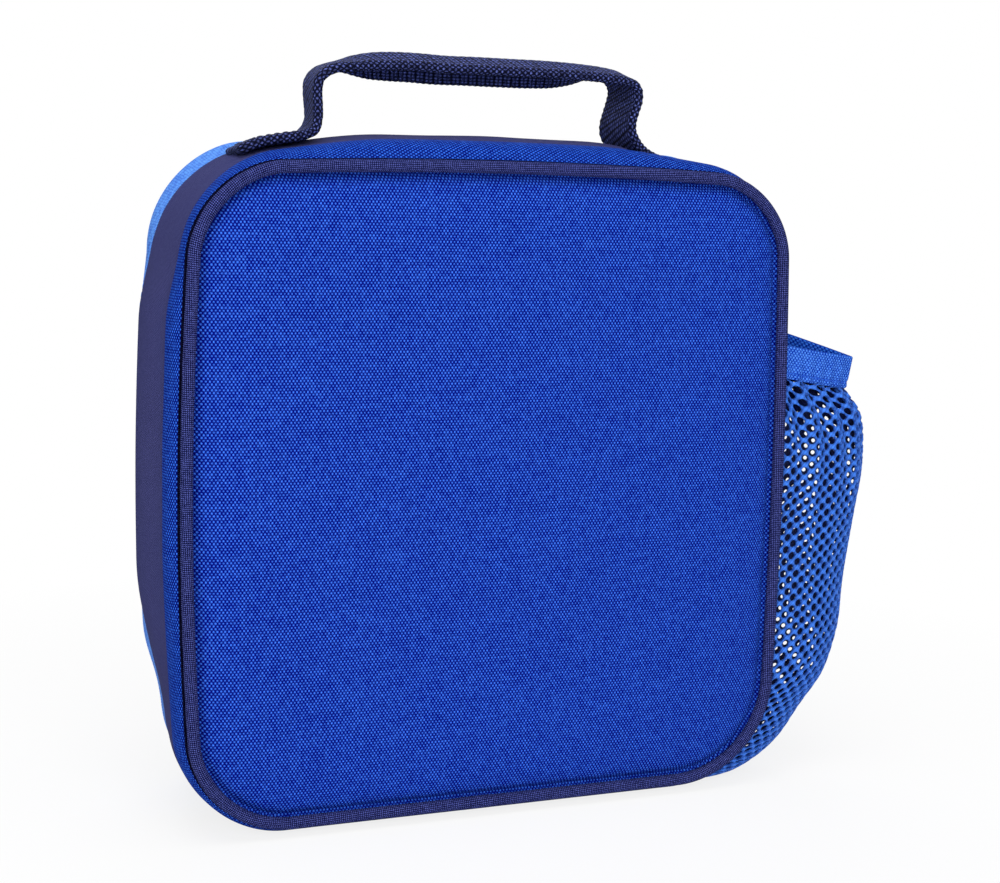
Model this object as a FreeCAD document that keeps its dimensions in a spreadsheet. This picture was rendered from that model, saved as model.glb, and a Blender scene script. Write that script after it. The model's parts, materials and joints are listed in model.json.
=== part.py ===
import FreeCAD, Part
import os
from math import cos, pi, radians, sin, tan

import Sketcher
from FreeCAD import Vector

# A soft insulated lunch box that stands on its base, with its rear panel towards -Y, its zipped lid
# towards +Y and its net pocket towards +X. The origin is the middle of the base, on the ground.
# Depths run forward from the plane of the rear piping. Millimetres.

doc = FreeCAD.newDocument("LunchBox")

SIZES = {
    # Rear panel, between the centrelines of its piping, and what the front is narrower by on each side
    "seam_width": 216,
    "seam_height": 218,
    "top_corner": 38,
    "low_corner": 42,
    "front_inset": 4,
    "piping_diameter": 4.2,
    "floor_clearance": 0.95,
    # Layers of every wall
    "skin": 1.0,
    "foam": 4.0,
    "lining": 0.6,
    "layer_gap": 0.2,
    "back_crown": 4.0,
    "front_crown": 3.0,
    "crown_slope": 14,
    "crown_reach": 40,
    # Widths of the gusset's strips, from the rear seam to the front one
    "seam_tuck": 0.15,
    "strip_width": 12.05,
    "band_width": 24,
    "zip_width": 20,
    "lid_width": 16.05,
    # How far the gusset stands out from the rear piping's centreline, on the sides and on the top
    "seam_lift": 2.9,
    "roll_side": 3.9,
    "roll_top": 6.5,
    "swell_side": 4.3,
    "swell_top": 9.3,
    "edge_side": 4.2,
    "edge_top": 10.2,
    "shoulder_side": 5.4,
    "shoulder_top": 10.5,
    "waist_side": 7.2,
    "waist_top": 10.2,
    "band_side": 7.6,
    "band_top": 8.2,
    "lid_side": 3.6,
    "lid_top": 3.8,
    "fall_side": 1.6,
    "fall_top": 3.9,
    "nose_side": 0.4,
    "nose_top": 3.7,
    # Tape that binds the raw seams inside
    "binding_thickness": 2.0,
    # Base between the lower corners
    "bottom_width": 132,
    "bottom_skin": 1.3,
    "hinge_clearance": 0.35,
    # Zip: coil halves on tapes, with a slit between them for the slider's post
    "tape_thickness": 0.8,
    "tape_gap": 0.1,
    "coil_width": 2.0,
    "coil_rise": 1.0,
    "coil_sink": 1.2,
    "coil_slit": 1.6,
    # Sliders and their pulls
    "slider_spread": 15,
    "slider_length": 11,
    "slider_width": 8,
    "slider_tail": 5,
    "slider_plate": 1.4,
    "slider_clearance": 0.5,
    "post_length": 2.2,
    "post_width": 1.0,
    "crown_length": 4.4,
    "crown_width": 2.0,
    "crown_wall": 0.7,
    "pin_diameter": 1.6,
    "pin_clearance": 0.3,
    "pin_height": 2.0,
    "pull_length": 26,
    "pull_width": 6.4,
    "pull_thickness": 1.6,
    "pull_slot": 3.3,
    "pull_heel": 1.0,
    "yoke_clearance": 0.4,
    "pull_chamfer": 1.5,
    # Webbing handle
    "strap_width": 25,
    "strap_thickness": 2.7,
    "handle_span": 115,
    "handle_offset": -4.5,
    "handle_height": 29,
    "handle_bend": 9,
    "foot_length": 26,
    "leg_point": 1.2,
    "leg_gap": 0.7,
    # Net pocket: its edges' depths, its reach past the piping's centreline at each height, its elastic
    "pocket_rear": 3.6,
    "pocket_front": 36.8,
    "pocket_clearance": 0.3,
    "net_thickness": 1.2,
    "mouth_height": 146,
    "mouth_reach": 42,
    "belly_height": 122,
    "belly_reach": 50,
    "shin_height": 50,
    "shin_reach": 40,
    "heel_height": 28,
    "heel_reach": 28,
    "toe_height": 10,
    "toe_reach": 13,
    "sole_height": 1.5,
    "sole_reach": -5,
    "elastic_height": 12,
    "elastic_thickness": 2.0,
}

sheet = doc.addObject("Spreadsheet::Sheet", "Sizes")
for row, (alias, number) in enumerate(SIZES.items(), 1):
    sheet.set(f"A{row}", alias)
    sheet.set(f"B{row}", str(number))
    sheet.setAlias(f"B{row}", alias)
doc.recompute()


class Length:
    """A size, or a sum made of sizes: its value, and the expression that keeps it bound to the sheet."""

    def __init__(self, value, text):
        self.value = value
        self.text = text

    @staticmethod
    def of(thing):
        return thing if isinstance(thing, Length) else Length(thing, f"{thing}")

    def __add__(self, other):
        other = Length.of(other)
        return Length(self.value + other.value, f"({self.text} + {other.text})")

    def __sub__(self, other):
        other = Length.of(other)
        return Length(self.value - other.value, f"({self.text} - {other.text})")

    def __mul__(self, factor):
        return Length(self.value * factor, f"({self.text} * {factor})")

    def __truediv__(self, divisor):
        return Length(self.value / divisor, f"({self.text} / {divisor})")

    def __neg__(self):
        return Length(-self.value, f"(0 - {self.text})")


def size(alias):
    return Length(sheet.get(alias), f"Sizes.{alias}")


NONE = Length(0, "0")
gap = size("layer_gap")
piping_radius = size("piping_diameter") / 2
seam_half = size("seam_width") / 2
seam_low = size("floor_clearance") + piping_radius
seam_top = seam_low + size("seam_height")

# Depths at which one strip of the gusset gives way to the next
strip_start = piping_radius - size("seam_tuck")
strip_end = strip_start + size("strip_width")
band_end = strip_end + size("band_width")
lid_start = band_end + size("zip_width")
lid_end = lid_start + size("lid_width")
full_depth = lid_end + strip_start
zip_depth = band_end + size("zip_width") / 2
strap_depth = strip_end + size("band_width") / 2

# Where, along its strip, each turn of the gusset's profile lies
ROLL, SWELL = 0.21, 0.65
SHOULDER, WAIST = 0.17, 0.58
FALL, NOSE = 0.57, 0.86


class Station:
    """One turn of the gusset's profile: its depth, and how far it stands out on the sides and the top."""

    def __init__(self, depth, side, top):
        self.depth = depth
        self.side = side
        self.top = top

    def at(self, depth):
        return Station(depth, self.side, self.top)


def named_station(name, depth):
    return Station(depth, size(f"{name}_side"), size(f"{name}_top"))


rear_seam = Station(strip_start, size("seam_lift"), size("seam_lift"))
roll = named_station("roll", strip_start + size("strip_width") * ROLL)
swell = named_station("swell", strip_start + size("strip_width") * SWELL)
strip_edge = named_station("edge", strip_end)
shoulder = named_station("shoulder", strip_end + size("band_width") * SHOULDER)
waist = named_station("waist", strip_end + size("band_width") * WAIST)
band_edge = named_station("band", band_end)
lid_edge = named_station("lid", lid_start)
fall = named_station("fall", lid_start + size("lid_width") * FALL)
nose = named_station("nose", lid_start + size("lid_width") * NOSE)
front_seam = Station(lid_end, size("seam_lift") - size("front_inset"), size("seam_lift"))


def zip_station(share):
    """A station on the flat run of the zip, at a share of the way from the band to the lid."""
    side = band_edge.side + (lid_edge.side - band_edge.side) * share
    top = band_edge.top + (lid_edge.top - band_edge.top) * share
    return Station(band_end, side, top)


def bind(thing, **lengths):
    for name, length in lengths.items():
        thing.setExpression(name, length.text)


def new_body(name):
    return doc.addObject("PartDesign::Body", name)


def new_sketch(body, name, role, offset):
    """An empty sketch on one of the body's own planes, moved along the plane's normal."""
    sketch = body.newObject("Sketcher::SketchObject", name)
    plane = next(f for f in body.Origin.OriginFeatures if f.Role == role)
    sketch.AttachmentSupport = [(plane, "")]
    sketch.MapMode = "FlatFace"
    sketch.setExpression("AttachmentOffset.Base.z", offset.text)
    return sketch


def across(depth):
    """The offset of a sketch that lies across the box, seen from behind, at a depth."""
    return full_depth / 2 - depth


def constrain(sketch, name, kind, *arguments, length):
    index = sketch.addConstraint(Sketcher.Constraint(kind, *arguments, length.value))
    sketch.renameConstraint(index, name)
    sketch.setExpression(f"Constraints.{name}", length.text)


def arc(centre_x, centre_y, radius, start):
    circle = Part.Circle(Vector(centre_x, centre_y, 0), Vector(0, 0, 1), radius)
    return Part.ArcOfCircle(circle, radians(start), radians(start + 90))


def rounded_outline(body, name, depth, half, low, high, low_radius, high_radius):
    """A rounded rectangle across the box, the same to the left and the right, in one closed loop."""
    sketch = new_sketch(body, name, "XZ_Plane", across(depth))
    w, b, t = half.value, low.value, high.value
    p, q = low_radius.value, high_radius.value
    corners = [Vector(p - w, b), Vector(w - p, b), Vector(w, b + p), Vector(w, t - q)]
    corners += [Vector(w - q, t), Vector(q - w, t), Vector(-w, t - q), Vector(-w, b + p)]
    lines = [Part.LineSegment(corners[i], corners[i + 1]) for i in range(0, 8, 2)]
    arcs = [arc(w - p, b + p, p, -90), arc(w - q, t - q, q, 0)]
    arcs += [arc(q - w, t - q, q, 90), arc(p - w, b + p, p, 180)]
    sketch.addGeometry([piece for pair in zip(lines, arcs) for piece in pair])
    sketch.addConstraint([Sketcher.Constraint("Tangent", i, 2, (i + 1) % 8, 1) for i in range(8)])
    sketch.addConstraint([Sketcher.Constraint("Horizontal", i) for i in (0, 4)])
    sketch.addConstraint([Sketcher.Constraint("Vertical", i) for i in (2, 6)])
    constrain(sketch, "right", "DistanceX", -1, 1, 2, 1, length=half)
    constrain(sketch, "left", "DistanceX", 6, 1, -1, 1, length=half)
    constrain(sketch, "low", "DistanceY", -1, 1, 0, 1, length=low)
    constrain(sketch, "high", "DistanceY", -1, 1, 4, 1, length=high)
    for index, radius in ((1, low_radius), (3, high_radius), (5, high_radius), (7, low_radius)):
        constrain(sketch, f"corner{index}", "Radius", index, length=radius)
    return sketch


def polygon(body, name, role, offset, points):
    """A closed outline of straight lines through points given as pairs of lengths."""
    sketch = new_sketch(body, name, role, offset)
    places = [Vector(x.value, y.value) for x, y in points]
    count = len(places)
    sketch.addGeometry([Part.LineSegment(places[i], places[(i + 1) % count]) for i in range(count)])
    joins = [Sketcher.Constraint("Coincident", i, 2, (i + 1) % count, 1) for i in range(count)]
    sketch.addConstraint(joins)
    for i, (x, y) in enumerate(points):
        constrain(sketch, f"x{i}", "DistanceX", -1, 1, i, 1, length=x)
        constrain(sketch, f"y{i}", "DistanceY", -1, 1, i, 1, length=y)
    return sketch


def rectangle(body, name, role, offset, left, right, low, high):
    points = [(left, low), (right, low), (right, high), (left, high)]
    return polygon(body, name, role, offset, points)


def circle(body, name, role, offset, x, y, diameter):
    sketch = new_sketch(body, name, role, offset)
    sketch.addGeometry(Part.Circle(Vector(x.value, y.value, 0), Vector(0, 0, 1), diameter.value / 2))
    constrain(sketch, "x", "DistanceX", -1, 1, 0, 3, length=x)
    constrain(sketch, "y", "DistanceY", -1, 1, 0, 3, length=y)
    constrain(sketch, "size", "Diameter", 0, length=diameter)
    return sketch


def loft(body, kind, name, sketches):
    feature = body.newObject(f"PartDesign::{kind}Loft", name)
    feature.Profile = sketches[0]
    feature.Sections = sketches[1:]
    feature.Ruled = True
    return feature


def pad(body, name, sketch, length, midplane=False):
    feature = body.newObject("PartDesign::Pad", name)
    feature.Profile = sketch
    feature.Midplane = midplane
    bind(feature, Length=length)
    return feature


def cut_through(body, name, sketch):
    """A cut along the sketch's normal, through everything on both sides of it."""
    feature = body.newObject("PartDesign::Pocket", name)
    feature.Profile = sketch
    feature.Type = "ThroughAll"
    feature.Midplane = True
    return feature


def gusset_outline(body, name, station, inward, low_inward):
    """The gusset's outline at a station, moved inward from its outer face."""
    half = seam_half + station.side - inward
    high = seam_top + station.top - inward
    low = size("floor_clearance") + low_inward
    low_radius = size("low_corner") + (station.side + piping_radius) / 2 - inward
    high_radius = size("top_corner") + (station.side + station.top) / 2 - inward
    return rounded_outline(body, name, station.depth, half, low, high, low_radius, high_radius)


def gusset_loft(body, kind, name, stations, inward, low_inward=None):
    low_inward = low_inward or inward
    sketches = []
    for number, station in enumerate(stations):
        sketches.append(gusset_outline(body, f"{name}_{number}", station, inward, low_inward))
    return loft(body, kind, name, sketches)


def gusset_ring(name, stations, outer, inner, outer_low=None):
    """A strip of one layer, up both sides and over the top, open between the lower corners."""
    body = new_body(name)
    gusset_loft(body, "Additive", f"{name}_outside", stations, outer, outer_low)
    gusset_loft(body, "Subtractive", f"{name}_inside", stations, inner)
    half = size("bottom_width") / 2 + gap
    below, above = -size("low_corner") / 4, size("low_corner") / 3
    window = rectangle(body, f"{name}_window", "XZ_Plane", NONE, -half, half, below, above)
    cut_through(body, f"{name}_opening", window)
    return body


foam_outer = size("skin") + gap
foam_inner = foam_outer + size("foam")
lining_outer = foam_inner + gap
lining_inner = lining_outer + size("lining")
binding_outer = lining_inner + gap
binding_inner = binding_outer + size("binding_thickness")

# How deep the layers of the rear and front panels reach into the box at their rims
panel_foam = size("skin") / 2 + gap
panel_lining = panel_foam + size("foam") + gap
panel_depth = panel_lining + size("lining") + gap


def make_gusset():
    """The strips between the rear piping and the zip, with their foam, lining and bound rear seam."""
    rear = [rear_seam, roll, swell, strip_edge.at(strip_end - gap / 2)]
    band = [strip_edge.at(strip_end + gap / 2), shoulder, waist, band_edge.at(band_end - gap)]
    inside_start = roll.at(panel_depth)
    inside = [inside_start, swell, strip_edge, shoulder, waist, band_edge.at(band_end - gap)]
    binding = [inside_start, swell]
    return [
        gusset_ring("rear_gusset", rear, NONE, size("skin")),
        gusset_ring("gusset_band", band, NONE, size("skin")),
        gusset_ring("gusset_foam", inside, foam_outer, foam_inner),
        gusset_ring("gusset_lining", inside, lining_outer, lining_inner),
        gusset_ring("back_seam_binding", binding, binding_outer, binding_inner),
    ]


def make_lid_gusset():
    """The strip between the zip and the front piping, with its foam, lining and bound front seam."""
    strip = [lid_edge.at(lid_start + gap), fall, nose, front_seam]
    inside_end = nose.at(full_depth - panel_depth)
    inside = [lid_edge.at(lid_start + gap), fall, inside_end]
    binding = [fall, inside_end]
    return [
        gusset_ring("lid_gusset", strip, NONE, size("skin")),
        gusset_ring("lid_gusset_foam", inside, foam_outer, foam_inner),
        gusset_ring("lid_gusset_lining", inside, lining_outer, lining_inner),
        gusset_ring("front_seam_binding", binding, binding_outer, binding_inner),
    ]


def make_zip():
    """The two halves of the zip, each a tape with its coil along the edge, either side of a slit."""
    slit_half = size("coil_slit") / 2
    coil_edge = slit_half + size("coil_width")
    tape_edge = coil_edge + size("tape_gap")
    near, middle, far = zip_station(0.4), zip_station(0.5), zip_station(0.6)
    tape = NONE, size("tape_thickness")
    coil = -size("coil_rise"), size("coil_sink"), NONE
    base_tape = [band_edge, near.at(zip_depth - tape_edge)]
    base_coil = [near.at(zip_depth - coil_edge), middle.at(zip_depth - slit_half)]
    lid_coil = [middle.at(zip_depth + slit_half), far.at(zip_depth + coil_edge)]
    lid_tape = [far.at(zip_depth + tape_edge), lid_edge]
    return [
        gusset_ring("base_zip_tape", base_tape, *tape),
        gusset_ring("base_zip_coil", base_coil, *coil),
        gusset_ring("lid_zip_coil", lid_coil, *coil),
        gusset_ring("lid_zip_tape", lid_tape, *tape),
    ]


def from_rear(depth):
    return depth


def from_front(depth):
    return full_depth - depth


# How much of its distance from the rim each outline of a panel takes off its corners' radius, and how
# much of the crown is reached on the first slope
CROWN_ROUNDING = 0.5
CROWN_SLOPE = 0.65


def panel_layer(name, face, half, crown, outside, thickness):
    """A layer of the rear or front panel, which swells out from its rim by the crown."""
    body = new_body(name)
    rim = piping_radius + gap

    def outline(tag, inset, depth):
        shrink = rim + inset * CROWN_ROUNDING
        radii = size("low_corner") - shrink, size("top_corner") - shrink
        inset = rim + inset
        bounds = half - inset, seam_low + inset, seam_top - inset
        return rounded_outline(body, f"{name}_{tag}", face(depth), *bounds, *radii)

    inside = outside + thickness
    slope, reach = size("crown_slope"), size("crown_reach")
    shell = [
        outline("rim_in", NONE, inside),
        outline("rim_out", NONE, outside),
        outline("slope_out", slope, outside - crown * CROWN_SLOPE),
        outline("crown_out", reach, outside - crown),
    ]
    loft(body, "Additive", f"{name}_outside", shell)
    hollow = [
        outline("lip", gap, inside),
        outline("slope_in", slope, inside - crown * CROWN_SLOPE),
        outline("crown_in", reach, inside - crown),
    ]
    loft(body, "Subtractive", f"{name}_inside", hollow)
    return body


def make_panel(side, face, half, crown):
    """A panel's skin, foam and lining, one behind the other."""
    layers = [
        (f"{side}_panel", -size("skin") / 2, size("skin")),
        (f"{side}_foam", panel_foam, size("foam")),
        (f"{side}_lining", panel_lining, size("lining")),
    ]
    return [panel_layer(name, face, half, crown, *extent) for name, *extent in layers]


def make_piping(name, depth, half):
    """A corded edge right round a panel, joined in the middle of its lower run."""
    body = new_body(name)
    radii = size("low_corner"), size("top_corner")
    path = rounded_outline(body, f"{name}_path", depth, half, seam_low, seam_top, *radii)
    start = half - size("low_corner")
    profile = circle(
        body, f"{name}_cord", "YZ_Plane", -start, depth - full_depth / 2, seam_low, size("piping_diameter")
    )
    pipe = body.newObject("PartDesign::AdditivePipe", f"{name}_sweep")
    pipe.Profile = profile
    pipe.Spine = path
    return body


def make_bottom():
    """The flat base between the lower corners: skin on the ground, foam and lining above it."""
    half = size("bottom_width") / 2 - gap
    skin_ends = piping_radius + size("hinge_clearance")
    foam_low = size("bottom_skin") + gap
    lining_low = foam_low + size("foam") + gap
    inside_end = full_depth - panel_depth - size("hinge_clearance")
    layers = [
        ("bottom_panel", skin_ends, full_depth - skin_ends, NONE, size("bottom_skin")),
        ("bottom_foam", panel_depth, inside_end, foam_low, size("foam")),
        ("bottom_lining", panel_depth, inside_end, lining_low, size("lining")),
    ]
    bodies = []
    for name, near, far, low, thickness in layers:
        body = new_body(name)
        bounds = -half, half, near - full_depth / 2, far - full_depth / 2
        pad(body, f"{name}_slab", rectangle(body, f"{name}_plan", "XY_Plane", low, *bounds), thickness)
        bodies.append(body)
    return bodies


zip_top = seam_top + (size("band_top") + size("lid_top")) / 2
zip_y = zip_depth - full_depth / 2
plate_low = zip_top + size("coil_rise") + size("slider_clearance")
plate_top = plate_low + size("slider_plate")
keel_top = zip_top - size("coil_sink") - size("slider_clearance")
pin_z = plate_top + size("pin_height")
pin_hole = size("pin_diameter") + size("pin_clearance") * 2


def make_slider(name, way):
    """A slider astride the zip's top run: two plates, the post between them and the pull's crown.

    Its nose is towards the middle of the box and its tail points the given way along X."""
    body = new_body(name)
    middle = size("slider_spread") / 2 * way
    half_length, half_width = size("slider_length") / 2, size("slider_width") / 2
    half_tail = size("slider_tail") / 2
    nose_end, tail_end = middle - half_length * way, middle + half_length * way

    def box(tag, low, near, far, half, height):
        sketch = rectangle(body, f"{name}_{tag}", "XY_Plane", low, near, far, zip_y - half, zip_y + half)
        pad(body, f"{name}_{tag}_pad", sketch, height)

    plan = [(nose_end, zip_y - half_width), (middle, zip_y - half_width), (tail_end, zip_y - half_tail)]
    plan += [(tail_end, zip_y + half_tail), (middle, zip_y + half_width), (nose_end, zip_y + half_width)]
    plate = polygon(body, f"{name}_plate", "XY_Plane", plate_low, plan)
    pad(body, f"{name}_plate_pad", plate, size("slider_plate"))
    post_half = size("post_width") / 2
    post_end = nose_end + size("post_length") * way
    box("post", keel_top, nose_end, post_end, post_half, plate_low - keel_top)
    keel = polygon(body, f"{name}_keel", "XY_Plane", keel_top - size("slider_plate"), plan)
    pad(body, f"{name}_keel_pad", keel, size("slider_plate"))
    crown_half = size("crown_length") / 2
    crown_height = size("pin_height") + pin_hole / 2 + size("crown_wall")
    box("crown", plate_top, middle - crown_half, middle + crown_half, size("crown_width") / 2, crown_height)
    hole = circle(body, f"{name}_eye", "XZ_Plane", NONE, middle, pin_z, pin_hole)
    cut_through(body, f"{name}_eye_cut", hole)
    return body


def make_pull(name, way):
    """A pull tab lying along the zip, hung on its slider by a pin between the arms of its yoke."""
    body = new_body(name)
    middle = size("slider_spread") / 2 * way
    half = size("pull_width") / 2
    slot = size("crown_width") / 2 + size("yoke_clearance")
    heel, root = middle - size("pull_heel") * way, middle + size("pull_slot") * way
    tip = middle + size("pull_length") * way
    chamfer = size("pull_chamfer")
    plan = [
        (heel, zip_y + slot),
        (root, zip_y + slot),
        (root, zip_y - slot),
        (heel, zip_y - slot),
        (heel, zip_y - half),
        (tip - chamfer * way, zip_y - half),
        (tip, zip_y - half + chamfer),
        (tip, zip_y + half - chamfer),
        (tip - chamfer * way, zip_y + half),
        (heel, zip_y + half),
    ]
    tab = polygon(body, f"{name}_plan", "XY_Plane", pin_z, plan)
    pad(body, f"{name}_tab", tab, size("pull_thickness"), midplane=True)
    pin = circle(body, f"{name}_pin", "XZ_Plane", -zip_y, middle, pin_z, size("pin_diameter"))
    pad(body, f"{name}_pin_pad", pin, slot + half, midplane=True)
    return body


strap_top = seam_top + size("shoulder_top") + gap + size("strap_thickness")


def make_feet():
    """The two ends of the webbing, sewn flat on the band from under each leg outwards."""
    half = size("strap_width") / 2
    run = [strip_edge.at(strap_depth - half), shoulder, waist, band_edge.at(strap_depth + half)]
    path = new_body("strap_path")
    gusset_loft(path, "Additive", "strap_outside", run, -gap - size("strap_thickness"))
    gusset_loft(path, "Subtractive", "strap_inside", run, -gap)
    feet = []
    for name, way in (("handle_foot_left", -1), ("handle_foot_right", 1)):
        leg = size("handle_offset") + size("handle_span") / 2 * way
        inner, outer = leg - size("strap_thickness") / 2 * way, leg + size("foot_length") * way
        left, right = (outer, inner) if way < 0 else (inner, outer)
        reach = doc.addObject("Part::Box", f"{name}_reach")
        reach.setExpression("Placement.Base.x", left.text)
        reach.setExpression("Placement.Base.y", (-full_depth).text)
        reach.setExpression("Placement.Base.z", (seam_top - size("top_corner") / 2).text)
        bind(reach, Length=right - left, Width=full_depth * 2, Height=size("top_corner") * 2)
        foot = doc.addObject("Part::Common", name)
        foot.Base, foot.Tool = path, reach
        feet.append(foot)
    return feet


FLAT, HALF_FOLDED, FOLDED = radians(4), radians(120), radians(205)
LEG_SPREAD = tan(radians(33))


def strap_section(crown, outward, width, fold):
    """The webbing's cross-section: a strip bent about its crown, flat or folded nearly into a tube."""
    radius = width / fold
    thickness = size("strap_thickness").value
    centre = crown - outward * radius
    sideways = Vector(0, 1, 0)

    def point(reach, angle):
        return centre + outward * (reach * cos(angle)) + sideways * (reach * sin(angle))

    def bend(reach, start, end):
        return Part.Arc(point(reach, start), point(reach, (start + end) / 2), point(reach, end)).toShape()

    outer, inner, edge = radius + thickness / 2, radius - thickness / 2, fold / 2
    return Part.Wire([
        bend(outer, -edge, 0),
        bend(outer, 0, edge),
        Part.LineSegment(point(outer, edge), point(inner, edge)).toShape(),
        bend(inner, edge, 0),
        bend(inner, 0, -edge),
        Part.LineSegment(point(inner, -edge), point(outer, -edge)).toShape(),
    ])


def make_loop():
    """The webbing between the feet: two flat legs that turn over into a folded grip.

    Each leg narrows to a point at its foot, so that the loop can lean to the rear and the front."""
    width, point_width = size("strap_width").value, size("leg_point").value
    bend, half_span = size("handle_bend").value, size("handle_span").value / 2
    grip_z = (seam_top + size("shoulder_top") + size("handle_height")).value
    grip_z -= size("strap_thickness").value / 2
    foot_z = (strap_top + size("leg_gap")).value
    y = (strap_depth - full_depth / 2).value
    spread_z = foot_z + (width - point_width) / 2 * LEG_SPREAD
    turn_z = grip_z - bend

    left_half = [
        (-half_span, foot_z, 0, point_width, FLAT),
        (-half_span, spread_z, 0, width, FLAT),
        (-half_span, turn_z, 0, width, FLAT * 4),
    ]
    for share, fold in ((0.5, HALF_FOLDED / 2), (1, HALF_FOLDED)):
        angle = pi / 2 * share
        place = bend - half_span - bend * cos(angle), turn_z + bend * sin(angle)
        left_half.append((*place, angle, width, fold))
    left_half.append((2.5 * bend - half_span, grip_z, pi / 2, width, FOLDED))
    right_half = [(-x, z, pi - angle, *rest) for x, z, angle, *rest in reversed(left_half)]
    sections = []
    for x, z, angle, strip, fold in left_half + right_half:
        crown = Vector(size("handle_offset").value + x, y, z)
        sections.append(strap_section(crown, Vector(-cos(angle), 0, sin(angle)), strip, fold))
    loop = doc.addObject("Part::Feature", "handle_loop")
    loop.Shape = Part.makeLoft(sections, True, True)
    return loop


def pocket_outline(body, name, height, reach, inset):
    """A plan of the pocket at a height: straight sides from the gusset and a round outer end."""
    sketch = new_sketch(body, name, "XY_Plane", height)
    near = size("pocket_rear") - full_depth / 2 + inset
    far = size("pocket_front") - full_depth / 2 - inset
    radius = (far - near) / 2
    turn = seam_half + reach - inset - radius
    inner = seam_half - size("top_corner")
    x, r, a, b = turn.value, radius.value, near.value, far.value
    middle = (a + b) / 2
    sketch.addGeometry([
        Part.LineSegment(Vector(inner.value, a), Vector(x, a)),
        arc(x, middle, r, -90),
        arc(x, middle, r, 0),
        Part.LineSegment(Vector(x, b), Vector(inner.value, b)),
        Part.LineSegment(Vector(inner.value, b), Vector(inner.value, a)),
    ])
    joins = [Sketcher.Constraint("Tangent", i, 2, i + 1, 1) for i in (0, 2)]
    joins += [Sketcher.Constraint("Coincident", i, 2, (i + 1) % 5, 1) for i in (1, 3, 4)]
    joins += [Sketcher.Constraint("Coincident", 1, 3, 2, 3), Sketcher.Constraint("Vertical", 4)]
    joins += [Sketcher.Constraint("Horizontal", i) for i in (0, 3)]
    joins += [Sketcher.Constraint("Horizontal", 1, 3, 1, 2)]
    sketch.addConstraint(joins)
    constrain(sketch, "inner", "DistanceX", -1, 1, 4, 1, length=inner)
    constrain(sketch, "turn", "DistanceX", -1, 1, 1, 3, length=turn)
    constrain(sketch, "near", "DistanceY", -1, 1, 0, 1, length=near)
    constrain(sketch, "far", "DistanceY", -1, 1, 3, 1, length=far)
    return sketch


def pocket_shell(name, levels, wall, floor):
    """A wall of the pocket through levels of height and reach, closed below only if it has a floor."""
    body = new_body(f"{name}_shell")
    outer = [pocket_outline(body, f"{name}_out{i}", *level, NONE) for i, level in enumerate(levels)]
    loft(body, "Additive", f"{name}_outside", outer)
    hollow = list(levels)
    if floor:
        hollow[-1] = (levels[-1][0] + wall, levels[-1][1])
    inner = [pocket_outline(body, f"{name}_in{i}", *level, wall) for i, level in enumerate(hollow)]
    loft(body, "Subtractive", f"{name}_inside", inner)
    return body


def make_pocket():
    """The net pocket and the elastic round its mouth, both trimmed where they meet the gusset."""
    envelope = new_body("gusset_envelope")
    run = [rear_seam, roll, swell, strip_edge, shoulder, waist, band_edge, lid_edge]
    gusset_loft(envelope, "Additive", "envelope", run, -size("pocket_clearance"))
    names = "mouth", "belly", "shin", "heel", "toe", "sole"
    levels = [(size(f"{name}_height"), size(f"{name}_reach")) for name in names]
    net = pocket_shell("pocket_net", levels, size("net_thickness"), floor=True)
    low = size("mouth_height") + gap
    band = [(low + size("elastic_height"), size("mouth_reach")), (low, size("mouth_reach"))]
    elastic = pocket_shell("pocket_elastic", band, size("elastic_thickness"), floor=False)
    pieces = []
    for name, shell in (("pocket_net", net), ("pocket_elastic", elastic)):
        piece = doc.addObject("Part::Cut", name)
        piece.Base, piece.Tool = shell, envelope
        piece.Refine = False
        pieces.append(piece)
    return pieces


front_half = seam_half - size("front_inset")

PIECES = make_panel("back", from_rear, seam_half, size("back_crown"))
PIECES += [make_piping("back_piping", NONE, seam_half)]
PIECES += make_gusset()
PIECES += make_bottom()
PIECES += make_zip()
PIECES += make_panel("front", from_front, front_half, size("front_crown"))
PIECES += [make_piping("front_piping", full_depth, front_half)]
PIECES += make_lid_gusset()
for hand, way in (("left", -1), ("right", 1)):
    PIECES += [make_slider(f"{hand}_slider", way), make_pull(f"{hand}_pull", way)]
PIECES += make_feet()
PIECES += [make_loop()]
PIECES += make_pocket()

doc.recompute()

failed = [thing.Name for thing in doc.Objects if {"Invalid", "Error"} & set(thing.State)]
if failed:
    raise RuntimeError("not built: " + ", ".join(failed))
for piece in PIECES:
    if piece.Shape.isNull() or not piece.Shape.isValid() or len(piece.Shape.Solids) != 1:
        raise RuntimeError(f"{piece.Label} is not one valid solid")

os.makedirs("parts", exist_ok=True)
for piece in PIECES:
    piece.Shape.exportStep(f"parts/{piece.Label}.step")
    print(f"{piece.Label}: {piece.Shape.Volume / 1000:.2f} cm3")
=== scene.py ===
import json
import math

import bmesh
import bpy
import numpy as np
from mathutils import Matrix, Vector, noise


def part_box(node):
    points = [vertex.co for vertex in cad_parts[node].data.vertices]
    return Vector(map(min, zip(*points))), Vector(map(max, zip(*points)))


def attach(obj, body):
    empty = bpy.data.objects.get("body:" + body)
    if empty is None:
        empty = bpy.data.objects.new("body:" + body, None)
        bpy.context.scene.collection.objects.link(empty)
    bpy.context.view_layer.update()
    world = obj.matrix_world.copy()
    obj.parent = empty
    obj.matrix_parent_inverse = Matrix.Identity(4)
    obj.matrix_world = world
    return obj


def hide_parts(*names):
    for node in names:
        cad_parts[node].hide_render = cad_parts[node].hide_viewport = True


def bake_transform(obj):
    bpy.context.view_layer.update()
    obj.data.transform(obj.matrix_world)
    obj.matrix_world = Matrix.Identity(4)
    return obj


# A soft insulated lunch box seen from behind: a padded rear panel towards -Y, a zipped lid towards +Y,
# a net pocket towards +X and a webbing handle on top. Lengths here are in millimetres, and new_mesh
# turns them into metres. Depths run forward from the plane of the rear piping.

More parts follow.
